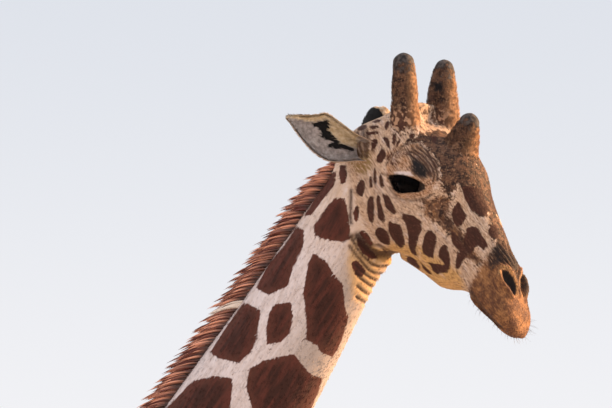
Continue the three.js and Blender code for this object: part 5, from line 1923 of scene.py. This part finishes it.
def horn_material():
    """A horn: pale flecked hair at its foot, then the mask's brown, with painted sunlight as gold on its
    front, a black scar, and bare grey-black skin at the end."""
    s = Shader("horn skin")
    share, front = s.mark("share"), s.mark("front")
    place = s.place()
    spots, wear = s.noise(place, 45, 2), s.noise(place, 90, 3)
    foot = s.blend(s.between(spots * 0.5 + wear * 0.5, 0.44, 0.5), tint(180, 138, 108), tint(74, 46, 36))
    colour = s.blend(s.between(share + (wear - 0.5) * 0.5, 0.26, 0.5), foot, mottled_brown(s))
    colour = s.blend(s.between(spots, 0.58, 0.66) * 0.5, colour, tint(66, 42, 34))
    streak = s.between(wear, 0.4, 0.6)
    # painted sunlight: the horn's front turns golden
    sunlit_side = s.between(front + (wear - 0.5) * 0.5, 0.76, 1.0)
    colour = s.blend(sunlit_side * 0.8, colour, s.blend(streak, tint(166, 122, 86), tint(112, 78, 54)))
    colour = s.blend(s.mark("scar"), colour, tint(26, 20, 20))
    bald = s.between(share + (spots - 0.5) * 0.3 + (wear - 0.5) * 0.25, 0.78, 0.9)
    colour = s.blend(bald, colour, s.blend(streak, tint(36, 31, 30), tint(74, 65, 61)))
    return s.finish(base_color=colour, roughness=0.8, specular_ior_level=0.2, normal=s.bump(wear, 0.6, 0.003))


def hoof_material():
    """Hoof horn: dark brown, worn in blots, with level rings of growth."""
    s = Shader("hoof horn")
    place = s.place()
    bands = {"Vector": place, "Scale": 22, "Distortion": 1.5, "Detail": 2}
    ring = s.node("ShaderNodeTexWave", {"bands_direction": "Z"}, bands)
    wear = s.noise(place, 25, 4)
    colour = s.blend(s.between(wear, 0.3, 0.7), tint(46, 38, 33), tint(84, 70, 58))
    colour = s.blend(ring * 0.25, colour, tint(110, 94, 78))
    return s.finish(base_color=colour, roughness=0.5, normal=s.bump(ring * 0.5 + wear * 0.5, 0.4, 0.002))


# the mane's pale tip colour is partly painted highlight
MANE_TIPS_AND_HIGHLIGHTS = [tint(92, 38, 27), tint(214, 146, 116)]
TAIL_TIPS = [tint(36, 28, 25), tint(58, 46, 40)]

# ---- the whole animal ----

skin, skin_points, skin_furrow = make_skin()
skin_normals = vertex_vectors(skin.data, "normal")
skin_weights = regions(skin_points)
skin_lie = lie(skin_normals, skin_weights)
skin_spots = unwrap(skin_points, skin_weights)
skin_marks = marks_of(skin_points, skin_furrow)
for mark, values in skin_marks.items():
    store(skin.data, mark, values)
short_coat = coat_material()
skin.data.materials.append(short_coat)

away = np.linalg.norm(skin_points - HEAD_MIDDLE, axis=1)
head = skin_weights[0] > 0.5
face = head * (skin_marks["tone"][:, 2] < 0.3)
face = face * (1 - inside(in_view(near_side(skin_points, skin_weights)), EYE_BARE, 3))
face_length = np.interp(in_head(skin_points)[:, 0], [-50, 150, 400, 560], [5.5, 5, 5, 4])
upper_neck = ~head & (away < 1500)
legs = skin_weights[3] >= 0.5
# How many tufts, where, their length and width in millimetres, their rise as a share of it, and the seed.
COATS = {
    "coat_face": (19800, face, face_length, 1.3, 0.15, 21),
    "coat_face_fine": (19800, face, face_length, 1.3, 0.15, 23),
    "coat_neck": (19800, upper_neck, 8, 2.0, 0.16, 31),
    "coat_body": (19800, ~head & ~upper_neck & ~legs, 26, 5.0, 0.15, 41),
    "coat_legs": (14000, ~head & ~upper_neck & legs, 18, 4.0, 0.15, 51),
}
for name, form in COATS.items():
    coat_piece(name, *form).data.materials.append(short_coat)

mane = make_mane()
# the mane's dark root is partly painted shade, its pale streaks partly painted highlights
mane.data.materials.append(hair_material("mane hair", tint(64, 38, 30), MANE_TIPS_AND_HIGHLIGHTS, tint(226, 208, 192)))
tail_tuft = make_tail_tuft()
tail_tuft.data.materials.append(hair_material("tail hair", tint(18, 14, 13), TAIL_TIPS))

wet_eye, ear_skin, horn_skin, hoof_horn = eye_material(), ear_material(), horn_material(), hoof_material()
lash_hair = stiff_hair_material("lash hair", tint(9, 8, 8), tint(20, 15, 14))
whisker_hair = stiff_hair_material("whisker", tint(110, 90, 76), tint(160, 142, 126))
for name, side in (("right", -1), ("left", 1)):
    make_eye("eye_" + name, side).data.materials.append(wet_eye)
    make_lashes("lashes_" + name, side).data.materials.append(lash_hair)
make_whiskers(130).data.materials.append(whisker_hair)
for seed, name in enumerate(EARS):
    make_ear(name).data.materials.append(ear_skin)
    make_ear_hair(name, 3600, seed + 81).data.materials.append(ear_skin)
for seed, (name, form) in enumerate(HORNS.items()):
    make_horn(name, form, seed + 3).data.materials.append(horn_skin)
    make_horn_hair(name, form, 3600, seed + 3).data.materials.append(horn_skin)
for leg in LEGS:
    foot = leg.replace("foreleg", "hoof_front").replace("hindleg", "hoof_hind")
    for toe in ("inner", "outer"):
        make_toe(f"{foot}_{toe}", leg, toe == "outer").data.materials.append(hoof_horn)

# ---- floor, light and camera ----

FLOOR_SIZE = 60.0
SKY_BACKDROP = [tint(243, 243, 246), tint(222, 226, 234)]  # low and high in the view
SKY_ABOVE = (1.4, 1.42, 1.5, 1)
SKY_LEVEL = (0.76, 0.78, 0.84, 1)
SUN = {"from": (6.5, 2.2, 2.3), "strength": 12.5, "width": 3.0, "colour": (1.0, 0.64, 0.34)}


def make_floor():
    """A wide pale floor, faintly speckled."""
    bpy.ops.mesh.primitive_plane_add(size=FLOOR_SIZE, location=(0, 0, 0))
    floor = bpy.context.object
    floor.name = "floor"
    s = Shader("pale floor")
    speckle = s.noise(s.place(), 3, 2)
    colour = s.blend(speckle, tint(196, 195, 194), tint(206, 205, 204))
    floor.data.materials.append(s.finish(base_color=colour, roughness=0.85, specular_ior_level=0.1))


def aim(made, at, target):
    """Puts a lamp or the camera at a place, looking at a target."""
    made.location = at
    made.rotation_euler = (Vector(target) - Vector(at)).to_track_quat("-Z", "Y").to_euler()


def make_sun():
    """A low warm lamp behind the animal and to its front."""
    lamp = bpy.data.lights.new("low sun", "SUN")
    lamp.energy, lamp.angle, lamp.color = SUN["strength"], math.radians(SUN["width"]), SUN["colour"]
    made = bpy.data.objects.new("low sun", lamp)
    bpy.context.scene.collection.objects.link(made)
    aim(made, SUN["from"], (0, 0, 0))


def make_camera():
    """The camera: its lens spans VIEW_STEP for each step of the frame at the target."""
    lens = bpy.data.cameras.new("camera")
    lens.sensor_width = SENSOR
    lens.lens = SENSOR * VIEW_DISTANCE / (FRAME_SIZE[0] * VIEW_STEP)
    lens.clip_end = 200
    made = bpy.data.objects.new("camera", lens)
    bpy.context.scene.collection.objects.link(made)
    aim(made, to_row(VIEW_TARGET - VIEW_DISTANCE * VIEW_AHEAD), to_row(VIEW_TARGET))
    bpy.context.scene.camera = made


def make_sky():
    """Soft light from all round, stronger from above, behind an even pale backdrop."""
    s = Shader("studio sky", "worlds", "Background")
    height = s.part(s.node("ShaderNodeTexCoord", {}, [], "Generated"), "Z")
    light = s.blend(s.between(height, -0.2, 0.9), SKY_LEVEL, SKY_ABOVE)
    backdrop = s.blend(s.between(height, 0.1, 0.175), *SKY_BACKDROP)
    direct = s.node("ShaderNodeLightPath", {}, [], "Is Camera Ray")
    bpy.context.scene.world = s.finish(color=s.blend(direct, light, backdrop))


make_floor()
make_sky()
make_sun()
make_camera()
bpy.context.scene.view_settings.view_transform = "Standard"
